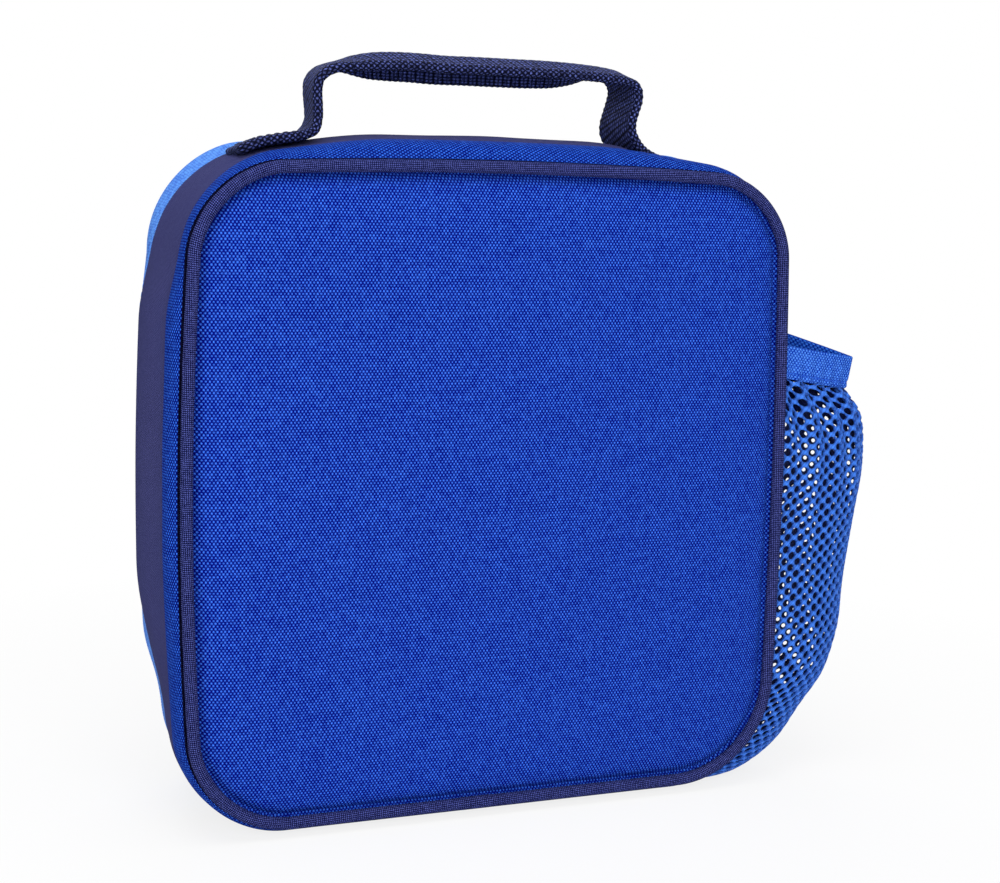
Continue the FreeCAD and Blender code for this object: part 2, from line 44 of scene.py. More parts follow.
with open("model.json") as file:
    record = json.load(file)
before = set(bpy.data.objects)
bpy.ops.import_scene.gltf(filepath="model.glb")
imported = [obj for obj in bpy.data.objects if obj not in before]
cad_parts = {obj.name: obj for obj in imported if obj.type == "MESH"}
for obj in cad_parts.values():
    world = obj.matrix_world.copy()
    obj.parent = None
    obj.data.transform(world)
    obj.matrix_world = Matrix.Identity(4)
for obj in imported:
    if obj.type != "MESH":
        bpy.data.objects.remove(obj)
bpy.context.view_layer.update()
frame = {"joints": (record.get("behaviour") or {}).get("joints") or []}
MM = 0.001


def corners(node):
    """A CAD node's lowest and highest corner, in millimetres."""
    low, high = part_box(node)
    return np.array(low) / MM, np.array(high) / MM


def node_depths(node):
    """The depths at which a CAD node starts and ends."""
    low, high = corners(node)
    return low[1] - REAR_Y, high[1] - REAR_Y


# Places read from the frame
rear_cord, front_cord = corners("back_piping"), corners("front_piping")
PIPING_RADIUS = (rear_cord[1][1] - rear_cord[0][1]) / 2
REAR_Y = rear_cord[0][1] + PIPING_RADIUS
DEPTH = front_cord[0][1] + PIPING_RADIUS - REAR_Y
SEAM_LOW = rear_cord[0][2] + PIPING_RADIUS
SEAM_TOP = rear_cord[1][2] - PIPING_RADIUS
STRIP_START = node_depths("rear_gusset")[0]
BAND_START = node_depths("gusset_band")[0]
ZIP_START = node_depths("base_zip_tape")[0]
ZIP_END = node_depths("lid_zip_tape")[1]
LID_END = node_depths("lid_gusset")[1]
ZIP_MIDDLE = (ZIP_START + ZIP_END) / 2
BASE_HALF = corners("bottom_panel")[1][0]
STRAP_LOW, STRAP_HIGH = corners("handle_loop")
STRAP_Y = (STRAP_LOW[1] + STRAP_HIGH[1]) / 2

# The rear seam line: half-width and heights of its straight sides, its corner radii, and how far each
# side bows out between the corners
REAR_HALF = 104.75
REAR_TOP, REAR_LOW = SEAM_TOP - 1.9, SEAM_LOW + 1.4
TOP_LEFT, TOP_RIGHT, LOW_LEFT, LOW_RIGHT = 27.8, 26.3, 30.2, 34.7
LEFT_BOW, RIGHT_BOW, TOP_BOW = 4.5, 2.3, 3.2

# The front seam line, which the shape turns into from the zip on: straight sides, one radius, no bow
FRONT_HALF = front_cord[1][0] - PIPING_RADIUS - 3.5
FRONT_RADIUS = 34.0

# How many points each stretch of a seam line has
SIDE_STEPS, CORNER_STEPS, TOP_STEPS, BASE_STEPS = 70, 36, 70, 1

# How far the gusset stands out from the seam line, by depth: beside a top corner, over a top corner,
# half-way up a side, half-way along the top, round a lower corner, and under the base
PROFILE = np.array([
    (0.0, -0.6, -0.6, -0.6, -0.6, -0.6, -0.6),
    (1.6, -0.4, -0.4, -0.4, -0.4, -0.4, -0.4),
    (2.4, 0.4, 0.4, 0.4, 0.4, 0.4, 0.4),
    (3.2, 1.9, 2.1, 2.3, 2.2, 2.1, 2.0),
    (4.2, 2.5, 2.9, 3.5, 4.0, 3.1, 3.7),
    (5.2, 2.6, 3.3, 4.2, 5.5, 3.6, 4.3),
    (8.0, 2.3, 3.7, 5.2, 7.6, 4.3, 4.3),
    (11.0, 1.9, 3.8, 5.5, 8.6, 4.5, 4.3),
    (14.0, 1.3, 3.4, 4.9, 9.0, 4.3, 4.3),
    (16.5, 1.9, 3.7, 5.6, 9.7, 4.2, 4.3),
    (20.0, 2.9, 4.2, 7.0, 10.3, 3.9, 4.3),
    (28.0, 4.2, 5.0, 9.2, 10.6, 2.9, 4.3),
    (34.0, 5.1, 5.6, 9.7, 9.6, 2.1, 4.3),
    (38.0, 5.7, 6.2, 9.0, 8.2, 1.6, 4.3),
    (42.0, 6.0, 8.0, 8.0, 6.3, 1.1, 4.3),
    (46.0, 5.5, 9.5, 7.0, 5.0, 0.8, 4.2),
    (49.0, 4.9, 9.2, 6.2, 4.6, 0.6, 4.2),
    (52.0, 4.2, 8.5, 5.4, 4.6, 0.4, 4.1),
    (58.0, 3.4, 7.6, 4.4, 4.7, 0.0, 3.9),
    (66.8, 2.6, 5.4, 3.2, 4.4, 0.0, 3.0),
    (71.2, 1.6, 2.8, 1.8, 3.0, 0.2, 2.2),
    (73.4, 1.0, 1.4, 1.0, 1.8, 0.3, 1.3),
    (76.0, 0.3, 0.3, 0.3, 0.3, 0.3, 0.3),
])

# Where the profile's columns give way to each other, as shares of the half-height up from the middle
# (lower corner, side, upper corner) and of the half-width out from it (top corner, middle of the top).
# The top corner's column draws in towards the zip, from the given distance past the band's start.
LOWER_CORNER, LOWER_SIDE, SIDE_MIDDLE, UPPER_SIDE, UPPER_CORNER = -0.75, -0.2, 0.2, 0.54, 0.82
TOP_CORNER, TOP_MIDDLE, CORNER_DRAW, DRAW_START = 1.0, 0.35, 0.2, 24.0

# The gusset bulges low on the left beside the zip, and sinks under the handle's right foot. The sink comes
# in and goes out between the two pairs of depths.
BULGE, BULGE_HEIGHT, BULGE_TALL, BULGE_DEPTH, BULGE_WIDE = 2.0, 60.0, 13.0, 50.0, 9.0
SINK, SINK_START, SINK_END = 4.2, 48.0, 64.0
SINK_REAR, SINK_FRONT = (11.5, 17.0), (36.0, 46.0)


def smooth_curve(table, at):
    """A smooth curve through the rows of a table, whose first column is where each row lies."""
    table = np.asarray(table, float)
    at = np.clip(np.atleast_1d(np.asarray(at, float)), table[0, 0], table[-1, 0])
    x, y = table[:, 0], table[:, 1:]
    slope = np.gradient(y, x, axis=0)
    i = np.clip(np.searchsorted(x, at, side="right") - 1, 0, len(x) - 2)
    span = (x[i + 1] - x[i])[:, None]
    s = ((at - x[i]) / (x[i + 1] - x[i]))[:, None]
    start = (1 + 2 * s) * (1 - s) ** 2 * y[i] + s * (1 - s) ** 2 * span * slope[i]
    end = s**2 * (3 - 2 * s) * y[i + 1] + s**2 * (s - 1) * span * slope[i + 1]
    return start + end


def eased(value, zero, one):
    """A smooth step from 0 to 1 between two values."""
    share = np.clip((value - zero) / (one - zero), 0, 1)
    return share**2 * (3 - 2 * share)


def arc_points(x, z, radius, start, end):
    """Points of a circle's arc, without the last one, angles in degrees."""
    angles = np.radians(np.linspace(start, end, CORNER_STEPS, endpoint=False))
    return np.column_stack([x + radius * np.cos(angles), z + radius * np.sin(angles)])


def run_points(start, end, count):
    """Points of a straight run, without the last one."""
    share = np.linspace(0, 1, count, endpoint=False)[:, None]
    return np.asarray(start) * (1 - share) + np.asarray(end) * share


def seam_line(depth, part="round"):
    """The seam line at a depth as (x, z) points, up from the base's left end, over, and down again.

    Its part is "round" without the base, "base" alone, or "closed" for both."""
    share = float(eased(depth, ZIP_MIDDLE, DEPTH))
    half = REAR_HALF + (FRONT_HALF - REAR_HALF) * share
    top, low = REAR_TOP + (SEAM_TOP - REAR_TOP) * share, REAR_LOW + (SEAM_LOW - REAR_LOW) * share
    radii = [r + (FRONT_RADIUS - r) * share for r in (LOW_LEFT, TOP_LEFT, TOP_RIGHT, LOW_RIGHT)]
    low_left, top_left, top_right, low_right = radii
    over = [
        run_points((-BASE_HALF, low), (low_left - half, low), BASE_STEPS),
        arc_points(low_left - half, low + low_left, low_left, 270, 180),
        run_points((-half, low + low_left), (-half, top - top_left), SIDE_STEPS),
        arc_points(top_left - half, top - top_left, top_left, 180, 90),
        run_points((top_left - half, top), (half - top_right, top), TOP_STEPS),
        arc_points(half - top_right, top - top_right, top_right, 90, 0),
        run_points((half, top - top_right), (half, low + low_right), SIDE_STEPS),
        arc_points(half - low_right, low + low_right, low_right, 0, -90),
        run_points((half - low_right, low), (BASE_HALF, low), BASE_STEPS),
    ]
    base = run_points((BASE_HALF, low), (-BASE_HALF, low), TOP_STEPS)
    parts = {
        "round": [*over, [(BASE_HALF, low)]],
        "closed": [*over, base],
        "base": [base, [(-BASE_HALF, low)]],
    }
    return bowed(np.vstack(parts[part]), 1 - share, half, (top + low) / 2, (top - low) / 2)


def bowed(line, amount, half, middle, tall):
    """The line with its left, right and top bowed out between the corners."""
    x, z = line.T
    across, up = x / half, (z - middle) / tall
    side_bow = np.where(x < 0, LEFT_BOW, RIGHT_BOW) * amount
    new_x = x + np.sign(x) * side_bow * (1 - up**2) * np.abs(across) ** 3
    new_z = z + TOP_BOW * amount * (1 - across**2) * np.maximum(up, 0) ** 3
    return np.column_stack([new_x, new_z])


def unit(vectors):
    """Vectors made one long."""
    return vectors / np.linalg.norm(vectors, axis=-1, keepdims=True)


def outward(line, closed=False):
    """Unit normals of a line of (x, z) points, pointing out of the box."""
    if closed:
        step = np.roll(line, -1, 0) - np.roll(line, 1, 0)
    else:
        step = np.gradient(line, axis=0)
    return unit(np.column_stack([-step[:, 1], step[:, 0]]))


def gusset_lift(depth, line, normal):
    """How far the gusset's outer face stands out from the seam line at each of its points."""
    beside, over, side, top, heel, base = smooth_curve(PROFILE, depth)[0]
    x, z = line.T
    up = (z - (REAR_TOP + REAR_LOW) / 2) / ((REAR_TOP - REAR_LOW) / 2)
    rise, fall = np.clip(normal[:, 1], 0, 1), np.clip(-normal[:, 1], 0, 1)
    crest = beside + (over - beside) * rise
    top_corner = TOP_CORNER - CORNER_DRAW * eased(depth, BAND_START + DRAW_START, ZIP_MIDDLE)
    crest = crest + (top - crest) * eased(np.abs(x) / REAR_HALF, top_corner, TOP_MIDDLE) * rise
    foot = heel + (base - heel) * fall**3
    lower = foot + (side - foot) * eased(up, LOWER_CORNER, LOWER_SIDE)
    upper = crest + (side - crest) * eased(up, UPPER_CORNER, UPPER_SIDE)
    lift = np.where(up < SIDE_MIDDLE, lower, upper)
    from_bulge = np.hypot((z - BULGE_HEIGHT) / BULGE_TALL, (depth - BULGE_DEPTH) / BULGE_WIDE)
    lift = lift + BULGE * np.exp(-from_bulge**2) * (x < 0)
    under_foot = eased(depth, *SINK_REAR) * (1 - eased(depth, *SINK_FRONT)) * rise
    return lift - SINK * eased(x, SINK_START, SINK_END) * under_foot


def gusset_point(depth, lift=0.0, part="round"):
    """A line of points round the gusset at a depth, lifted off its outer face."""
    line = seam_line(depth, part)
    normal = outward(line)
    flat = line + normal * (gusset_lift(depth, line, normal) + lift)[:, None]
    return np.column_stack([flat[:, 0], np.full(len(flat), REAR_Y + depth), flat[:, 1]])


def noise_at(points, size, seed):
    """Smooth noise from -1 to 1 at each point, with bumps of about the given size."""
    shift = Vector((seed * 17.3, seed * 5.7, seed * 11.9))
    values = [noise.noise(Vector(point) / size + shift) for point in points.reshape(-1, 3)]
    return np.array(values).reshape(points.shape[:-1])


# Meshes

# The small step that keeps the UVs of an end cap apart, the thread's grain round a stitch, the share of Y
# past which a wire counts as running along Y, and places of points over a strip's rounded edge
CAP_STEP, THREAD_GRAIN, STEEP = 0.001, 0.3, 0.9
EDGE_STEPS = np.array([0, 0.12, 0.4, 0.8, 1.3])


def linked(name, data):
    """A new object in the scene."""
    thing = bpy.data.objects.new(name, data)
    bpy.context.scene.collection.objects.link(thing)
    return thing


def new_mesh(name, points, faces, uvs):
    """A smooth mesh object from points, and UVs for each face corner, all in millimetres."""
    mesh = bpy.data.meshes.new(name)
    mesh.from_pydata((np.asarray(points) * MM).tolist(), [], faces)
    layer = mesh.uv_layers.new(name="weave")
    layer.data.foreach_set("uv", (np.asarray(uvs, float) * MM).ravel())
    mesh.polygons.foreach_set("use_smooth", [True] * len(mesh.polygons))
    mesh.update()
    return linked(name, mesh)


def along_lengths(points):
    """The distance along a line of points at each of them."""
    steps = np.linalg.norm(np.diff(points, axis=0), axis=1)
    return np.concatenate([[0], np.cumsum(steps)])


def at_lengths(lengths, values, places):
    """Values given at lengths along a line, read at other places along it."""
    return np.column_stack([np.interp(places, lengths, column) for column in values.T])


def skin(rings, along, around, loop=False, flip=False):
    """The faces and UVs of a skin over rings of points, in a loop or capped at both ends."""
    count, size = rings.shape[:2]
    faces, uvs = [], []

    def add(face, uv, turned):
        faces.append(face[::-1] if turned else face)
        uvs.extend(uv[::-1] if turned else uv)

    for i in range(count if loop else count - 1):
        j = (i + 1) % count
        for k in range(size):
            n = (k + 1) % size
            uv = [(along[i], around[k]), (along[i], around[k + 1])]
            uv += [(along[i + 1], around[k + 1]), (along[i + 1], around[k])]
            add([i * size + k, i * size + n, j * size + n, j * size + k], uv, flip)
    if not loop:
        for i, turned in ((0, not flip), (count - 1, flip)):
            cap_uv = [(along[i] + CAP_STEP * k, around[k]) for k in range(size)]
            add([i * size + k for k in range(size)], cap_uv, turned)
    return faces, uvs


def sweep(name, rings, loop=False, around=None, along=None, flip=False):
    """A piece with a skin over rings of points, each ring closed on itself. The UVs run along and around."""
    rings = np.asarray(rings, float)
    if along is None:
        centres = rings.mean(1)
        along = along_lengths(np.vstack([centres, centres[:1]]) if loop else centres)
    if around is None:
        widest = rings[len(rings) // 2]
        around = along_lengths(np.vstack([widest, widest[:1]]))
    return new_mesh(name, rings.reshape(-1, 3), *skin(rings, along, around, loop, flip))


def many_tubes(name, tubes):
    """One mesh of many short capped tubes."""
    points, faces, uvs = [], [], []
    for rings in tubes:
        count, size = rings.shape[:2]
        tube_faces, tube_uvs = skin(rings, np.arange(count), THREAD_GRAIN * np.arange(size + 1))
        faces += [[len(points) + corner for corner in face] for face in tube_faces]
        uvs += tube_uvs
        points.extend(rings.reshape(-1, 3))
    return new_mesh(name, points, faces, uvs)


def tube_rings(path, radius, sides):
    """Rings of a round wire along a path of points."""
    tangent = unit(np.gradient(path, axis=0))
    helper = np.where(np.abs(tangent[:, 1:2]) < STEEP, [[0, 1, 0]], [[1, 0, 0]])
    first = unit(np.cross(tangent, helper))
    second = np.cross(tangent, first)
    angles = np.linspace(0, 2 * math.pi, sides, endpoint=False)[None, :, None]
    return path[:, None] + (first[:, None] * np.cos(angles) + second[:, None] * np.sin(angles)) * radius


def merged(name, things):
    """Several mesh objects as one."""
    bpy.ops.object.select_all(action="DESELECT")
    for thing in things:
        thing.select_set(True)
    bpy.context.view_layer.objects.active = things[0]
    bpy.ops.object.join()
    things[0].name = name
    things[0].data.name = name
    return things[0]


def strip_rings(depths, outside, inside, part="round"):
    """Rings round the cross-section of a strip of the gusset, one ring at each point along it.

    The strip's faces lie at the given lifts off the gusset, and its edges are half round."""
    thickness = outside - inside
    round_off = min(thickness / 2, (depths[-1] - depths[0]) / 4)
    from_edge = np.minimum(depths - depths[0], depths[-1] - depths)
    rounding = 1 - np.clip(from_edge / round_off, 0, 1)
    drops = thickness / 2 * (1 - np.sqrt(1 - rounding**2))
    outer = [gusset_point(depth, outside - drop, part) for depth, drop in zip(depths, drops)]
    inner = [gusset_point(depth, inside + drop, part) for depth, drop in zip(depths, drops)]
    return np.stack(outer + inner[::-1], axis=1)


def strip_depths(start, end, count, round_off):
    """Depths across a strip, closer together at its rounded edges."""
    edge = EDGE_STEPS * round_off
    inner = np.linspace(start + edge[-1], end - edge[-1], count)
    return np.concatenate([start + edge[:-1], inner, (end - edge[:-1])[::-1]])


# Materials

# The handle's webbing: its size, its ribs and beads, the curls along its edges, and the lengths of its
# face and of its rounded edge round the section
STRAP_WIDE, STRAP_THICK = 25.0, 3.3
RIB_PITCH, RIB_HEIGHT, RIB_SLANT, BEAD_PITCH = 3.2, 0.07, 0.28, 1.6
CURL_PITCH, CURL_WIDE, CURL_HEIGHT = 2.1, 1.7, 0.06
STRAP_FACE, STRAP_EDGE = STRAP_WIDE - STRAP_THICK, math.pi / 2 * STRAP_THICK

# The net's meshes, their holes, and how much smaller the holes are on the pocket's far side
MESH_WIDE, MESH_TALL, HOLE_WIDE, HOLE_TALL, FAR_HOLES = 5.6, 4.5, 2.9, 3.0, 0.5


def srgb(red, green, blue):
    """A colour as read on screen, from 0 to 255, as linear light."""
    values = np.array([red, green, blue]) / 255
    linear = np.where(values <= 0.04045, values / 12.92, ((values + 0.055) / 1.055) ** 2.4)
    return (*linear.tolist(), 1.0)


class Value:
    """A node's output. Sums and products of it are math nodes."""

    def __init__(self, tree, socket):
        self.tree = tree
        self.socket = socket

    def math(self, operation, other=0.0):
        return self.tree.add("Math", 0, {0: self, 1: other}, operation=operation)

    def __add__(self, other):
        return self.math("ADD", other)

    def __sub__(self, other):
        return self.math("SUBTRACT", other)

    def __mul__(self, other):
        return self.math("MULTIPLY", other)

    def __abs__(self):
        return self.math("ABSOLUTE")

    def ridges(self, pitch=1.0):
        """Rounded ridges from 0 to 1, one in each pitch."""
        return abs((self * (math.pi / pitch)).math("SINE"))


class Tree:
    """The nodes of a material or a world while they are being set up."""

    def __init__(self, owner):
        owner.use_nodes = True
        self.nodes = owner.node_tree.nodes
        self.links = owner.node_tree.links

    def put(self, socket, value):
        """A plain value or another node's output into a socket."""
        if isinstance(value, Value):
            self.links.new(value.socket, socket)
        else:
            socket.default_value = value

    def add(self, kind, output, inputs, **settings):
        """One output of a new node with the given settings and inputs."""
        node = self.nodes.new(f"ShaderNode{kind}")
        for name, value in settings.items():
            setattr(node, name, value)
        for name, value in inputs.items():
            self.put(node.inputs[name], value)
        return Value(self, node.outputs[output])


class Finish(Tree):
    """A node material while it is being built."""

    def __init__(self, name, **settings):
        self.data = bpy.data.materials.new(name)
        super().__init__(self.data)
        self.shader = self.nodes["Principled BSDF"]
        for socket, value in settings.items():
            self.shader.inputs[socket.replace("_", " ")].default_value = value

    def cloth_axes(self, pitch_u, pitch_v, turn=0.0):
        """The cloth's two coordinates, counted in yarns, turned by an angle in degrees."""
        uv = self.add("UVMap", 0, {}, uv_map="weave")
        turned = self.add("Mapping", 0, {"Vector": uv, "Rotation": (0, 0, math.radians(turn))})
        u, v = (self.add("SeparateXYZ", axis, {0: turned}) for axis in (0, 1))
        return u * (1 / (pitch_u * MM)), v * (1 / (pitch_v * MM))

    def random(self, u, v):
        """One random number for each cell of the cloth."""
        cell = self.add("CombineXYZ", 0, {0: u.math("FLOOR"), 1: v.math("FLOOR")})
        return self.add("TexWhiteNoise", "Value", {"Vector": cell}, noise_dimensions="2D")

    def cloud(self, size, detail=2.0):
        """Soft noise over the object, from 0 to 1."""
        place = self.add("TexCoord", "Object", {})
        return self.add("TexNoise", 0, {"Vector": place, "Scale": 1 / (size * MM), "Detail": detail})

    def paint(self, tone, dark, light, height, relief):
        """The finished material, in a tone between two colours, with a height in relief."""
        colours = {0: tone, 6: srgb(*dark), 7: srgb(*light)}
        self.put(self.shader.inputs["Base Color"], self.add("Mix", 2, colours, data_type="RGBA"))
        bump = self.add("Bump", 0, {"Strength": 1.0, "Distance": relief * MM, "Height": height})
        self.put(self.shader.inputs["Normal"], bump)
        return self.data


# In each recipe a number beside a pattern says how much it adds to the tone, from 0, the dark colour, to
# 1, the light one, or to the height. The number that ends a recipe is its relief in millimetres.

def plain_weave(u, v):
    """A plain weave from -1 to 1: spots of warp on top and of weft on top, by turns both ways."""
    return (u * math.pi).math("SINE") * (v * math.pi).math("SINE")


def cloth(name, dark, light, pitch_u, pitch_v, turn=0.0, contrast=1.0, level=0.19):
    """A woven cloth: light spots where the yarns come up, and yarns that differ a little in short runs."""
    finish = Finish(name, Roughness=0.9, Specular_IOR_Level=0.03)
    u, v = finish.cloth_axes(pitch_u, pitch_v, turn)
    run_length = 15
    weave = plain_weave(u, v)
    row = (v * (2 * math.pi)).math("COSINE")
    yarn = finish.random(u, v) * 0.26 + finish.random(u * (1 / run_length), v) * 0.06
    tone = (weave * 0.52 + yarn - row * 0.17 - 0.15) * contrast + level
    tone = tone + (finish.cloud(30.0) - 0.5) * 0.04
    return finish.paint(tone, dark, light, weave, 0.12)


def twill(name, dark, light, pitch, slant=1.0):
    """A cloth with fine diagonal ribs."""
    finish = Finish(name, Roughness=0.75, Specular_IOR_Level=0.12)
    u, v = finish.cloth_axes(pitch, pitch)
    height = (u * slant + v).ridges() * (u.ridges() * 0.4 + 0.6)
    tone = height * 1.1 + finish.random(u, v) * 0.4 - 0.22
    return finish.paint(tone, dark, light, height, 0.2)


def webbing(name, dark, light):
    """Heavy webbing: slanted ribs of beaded yarn on its faces and curled yarn round its edges."""
    finish = Finish(name, Roughness=0.8, Specular_IOR_Level=0.06)
    u, v = finish.cloth_axes(1.0, 1.0)
    place = v.math("MODULO", STRAP_FACE + STRAP_EDGE)
    on_edge = place.math("GREATER_THAN", STRAP_FACE)
    slanted = v * RIB_SLANT + u
    bead = v.ridges(BEAD_PITCH) * slanted.ridges(RIB_PITCH / 2)
    face = bead * 0.75 + slanted.ridges(RIB_PITCH) * 0.25
    edge = abs(u.ridges(CURL_PITCH) - place.ridges(CURL_WIDE))
    height = face + on_edge * (edge - face)
    speckle = finish.random(u * 1.7, v * 1.7)
    return finish.paint(height * height * (speckle * 1.3 + 0.2), dark, light, height, 0.3)


def foil(name, dark, light):
    """A wipe-clean lining: pale, softly shiny, with a fine pressed grain."""
    finish = Finish(name, Roughness=0.36, Specular_IOR_Level=0.6)
    grain = plain_weave(*finish.cloth_axes(1.6, 1.6, 45))
    tone = grain * 0.2 + finish.cloud(25.0, 4.0) * 0.6
    return finish.paint(tone, dark, light, grain * 0.3 + finish.cloud(9.0), 0.5)


def metal(name, dark, light):
    """Painted die-cast metal with a little wear."""
    finish = Finish(name, Metallic=1.0, Roughness=0.34)
    wear = finish.cloud(2.0, 5.0)
    finish.put(finish.shader.inputs["Roughness"], wear * 0.25 + 0.22)
    return finish.paint(wear, dark, light, finish.cloud(0.8, 3.0), 0.05)


def nylon(name, dark, light, pitch):
    """Smooth plastic filament or thread with fine strands along it."""
    finish = Finish(name, Roughness=0.6, Specular_IOR_Level=0.2)
    u, v = finish.cloth_axes(pitch, pitch)
    strand = abs((u * 1.5 + v).math("SINE"))
    return finish.paint(finish.cloud(3.0) * 0.4 + strand * 0.6, dark, light, strand, 0.06)


def netting(name, dark, light):
    """Knitted net: fine strands, and painted shade that leaves it darkest round the holes and palest where
    the yarns cross.
    """
    finish = Finish(name, Roughness=0.6, Specular_IOR_Level=0.2)
    u, v = finish.cloth_axes(MESH_WIDE, MESH_TALL)
    hole = (u * (2 * math.pi)).math("COSINE") * (v * (2 * math.pi)).math("SINE")
    strand = abs((u * 14.0 + v * 8.0).math("SINE"))
    # The hole pattern takes the tone down round each hole and up between them: painted shade
    tone = strand * 0.3 + finish.cloud(3.0) * 0.3 - hole * 0.4 + 0.04
    return finish.paint(tone, dark, light, strand, 0.08)


ROYAL = cloth("royal_cloth", (0, 4, 114), (66, 128, 255), 0.605, 0.9)
# The royal cloth with its grain turned for the gusset strip, a little darker: painted shade for the box's
# sides
ROYAL_SIDE_SHADED = cloth("royal_side_shaded_cloth", (0, 4, 104), (58, 122, 246), 0.605, 0.9, turn=90)
NAVY = cloth("navy_cloth", (38, 40, 84), (86, 88, 142), 0.42, 0.5, contrast=0.5, level=0.4)
PIPING = cloth("navy_piping", (0, 2, 44), (98, 108, 190), 0.45, 0.5, turn=45, level=0.2)
# Near-black cloth for the piping's sewn edge: painted shadow along the seam between cord and gusset
SEAM_SHADOW_CLOTH = cloth("seam_shadow_cloth", (0, 0, 10), (22, 26, 70), 0.45, 0.5, turn=45)
AZURE = twill("azure_cloth", (0, 58, 196), (112, 176, 255), 1.0)
TAPE = twill("azure_tape", (0, 58, 196), (112, 176, 255), 1.0)
COIL = nylon("azure_coil", (20, 76, 196), (86, 140, 240), 0.5)
LINING = foil("lining", (150, 154, 160), (205, 208, 212))
BINDING = twill("binding", (20, 24, 52), (52, 58, 100), 1.0, slant=0.0)
WEBBING = webbing("webbing", (3, 4, 22), (96, 108, 182))
NET = netting("net", (0, 4, 90), (66, 138, 255))
# A darker copy of the net for the faces that look into the pocket: painted shade for the pocket's inside
NET_INSIDE_SHADE = netting("net_inside_shade", (0, 0, 24), (12, 30, 96))
ELASTIC = cloth("elastic", (0, 44, 166), (88, 152, 255), 0.85, 0.85, contrast=1.2, level=0.4)
# A darker copy of the elastic for its inner faces: painted shade inside the pocket's mouth
ELASTIC_INSIDE_SHADE = cloth("elastic_inside_shade", (0, 32, 126), (46, 102, 202), 0.85, 0.85, contrast=1.2, level=0.4)
METAL = metal("slider_metal", (40, 44, 58), (86, 90, 104))
THREAD = nylon("navy_thread", (12, 14, 34), (60, 64, 100), 0.3)
AZURE_THREAD = nylon("azure_thread", (30, 96, 216), (110, 170, 255), 0.3)
ELASTIC_THREAD = nylon("elastic_thread", (0, 56, 170), (50, 116, 240), 0.3)


def dress(piece, material, slot, body, *nodes):
    """Gives a piece its material and its body, and hides the nodes that it stands for. The slot is not used.
    """
    piece.data.materials.clear()
    piece.data.materials.append(material)
    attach(piece, body)
    if nodes:
        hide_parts(*nodes)
    return piece


# Panels

# A panel's loops of points: how far in from the rim, then shares of the last loop's reach, and the inset
# that the middle counts as
RIM_STEPS = np.array([0, 0.8, 1.5, 2.1, 2.7, 3.4, 4.4, 6, 8.5, 12, 16, 21, 27])
CENTRE_STEPS = np.array([0.9, 0.78, 0.64, 0.5, 0.36, 0.22, 0.1, 0.02])
CENTRE_INSET = 60.0

# The rim's gap to the piping's centreline and how deep it lies as a share of the piping's radius, the
# crown's slope, the groove beside the piping, the puckers along it and the waves of the face
PANEL_GAP, RIM_SINK, CROWN_SLOPE = 0.3, 0.6, 7.0
GROOVE, GROOVE_PLACE, GROOVE_WIDE = 1.7, 2.2, 1.5
PUCKER, PUCKER_SIZE, PUCKER_START, PUCKER_FADE = 0.35, 9.0, 3.0, 9.0
WAVE, WAVE_SIZE, WAVE_START = 0.7, 55.0, 20.0
PANEL_THICK, LINING_GAP, LINING_THICK = 4.6, 0.25, 0.8


def panel_rings(depth, crown, way, seed):
    """Loops of points over a panel's outer face, from its rim beside the piping to its middle.

    The face swells towards the given way along Y."""
    line = seam_line(depth, "closed")
    normal = outward(line, closed=True)
    loops = [line - normal * (PANEL_GAP + step) for step in RIM_STEPS]
    last, middle = loops[-1], loops[-1].mean(0)
    loops += [middle + (last - middle) * share for share in CENTRE_STEPS]
    insets = [*RIM_STEPS, *(RIM_STEPS[-1] + (1 - CENTRE_STEPS) * CENTRE_INSET)]
    rings = []
    for loop, inset in zip(loops, insets):
        ring = np.column_stack([loop[:, 0], np.full(len(loop), REAR_Y + depth), loop[:, 1]])
        swell = crown * (1 - math.exp(-max(inset - GROOVE_PLACE, 0) / CROWN_SLOPE))
        swell -= RIM_SINK * PIPING_RADIUS + GROOVE * math.exp(-((inset - GROOVE_PLACE) / GROOVE_WIDE) ** 2)
        pucker = PUCKER * math.exp(-inset / PUCKER_FADE) * min(inset / PUCKER_START, 1)
        wave = WAVE * (1 - math.exp(-inset / WAVE_START))
        relief = pucker * noise_at(ring, PUCKER_SIZE, seed) + wave * noise_at(ring, WAVE_SIZE, seed + 3)
        ring[:, 1] += way * (swell + relief)
        rings.append(ring)
    return rings


def plan_uv(piece):
    """UVs that follow X and Z, so that the cloth's grain runs straight across the panel."""
    mesh = piece.data
    places = np.zeros(len(mesh.vertices) * 3)
    mesh.vertices.foreach_get("co", places)
    index = np.zeros(len(mesh.loops), int)
    mesh.loops.foreach_get("vertex_index", index)
    mesh.uv_layers["weave"].data.foreach_set("uv", places.reshape(-1, 3)[index][:, [0, 2]].ravel())


def make_panel(name, lining_name, body, nodes, lining_nodes, depth, crown, way, seed):
    """A padded panel, its face crowned and its back hollow, and the lining on its inside."""
    face = panel_rings(depth, crown, way, seed)

    def layer(layer_name, near, far):
        """A layer that starts and ends at the given distances behind the face."""
        rings = [ring - (0, way * near, 0) for ring in reversed(face)]
        rings += [ring - (0, way * far, 0) for ring in face]
        piece = sweep(layer_name, rings, flip=way > 0)
        plan_uv(piece)
        return piece

    panel = dress(layer(name, 0, PANEL_THICK), ROYAL, "royal_cloth", body, *nodes)
    near = PANEL_THICK + LINING_GAP
    dress(layer(lining_name, near, near + LINING_THICK), LINING, "lining", body, *lining_nodes)


# Piping

# Where the cord's cover is lapped and by how much it is thicker there, and the section of its sewn edge
# beside the gusset: out and back. That edge is near-black, painted shadow along the seam.
CORD_SIDES = 14
LAP_X, LAP_HALF, LAP_SWELL = -8.0, 6.0, 1.07
FLANGE = np.array([(-0.8, 1.4), (1.9, 2.0), (2.3, 2.2), (2.45, 2.5), (2.3, 2.8), (1.9, 3.0), (-0.8, 3.0)])


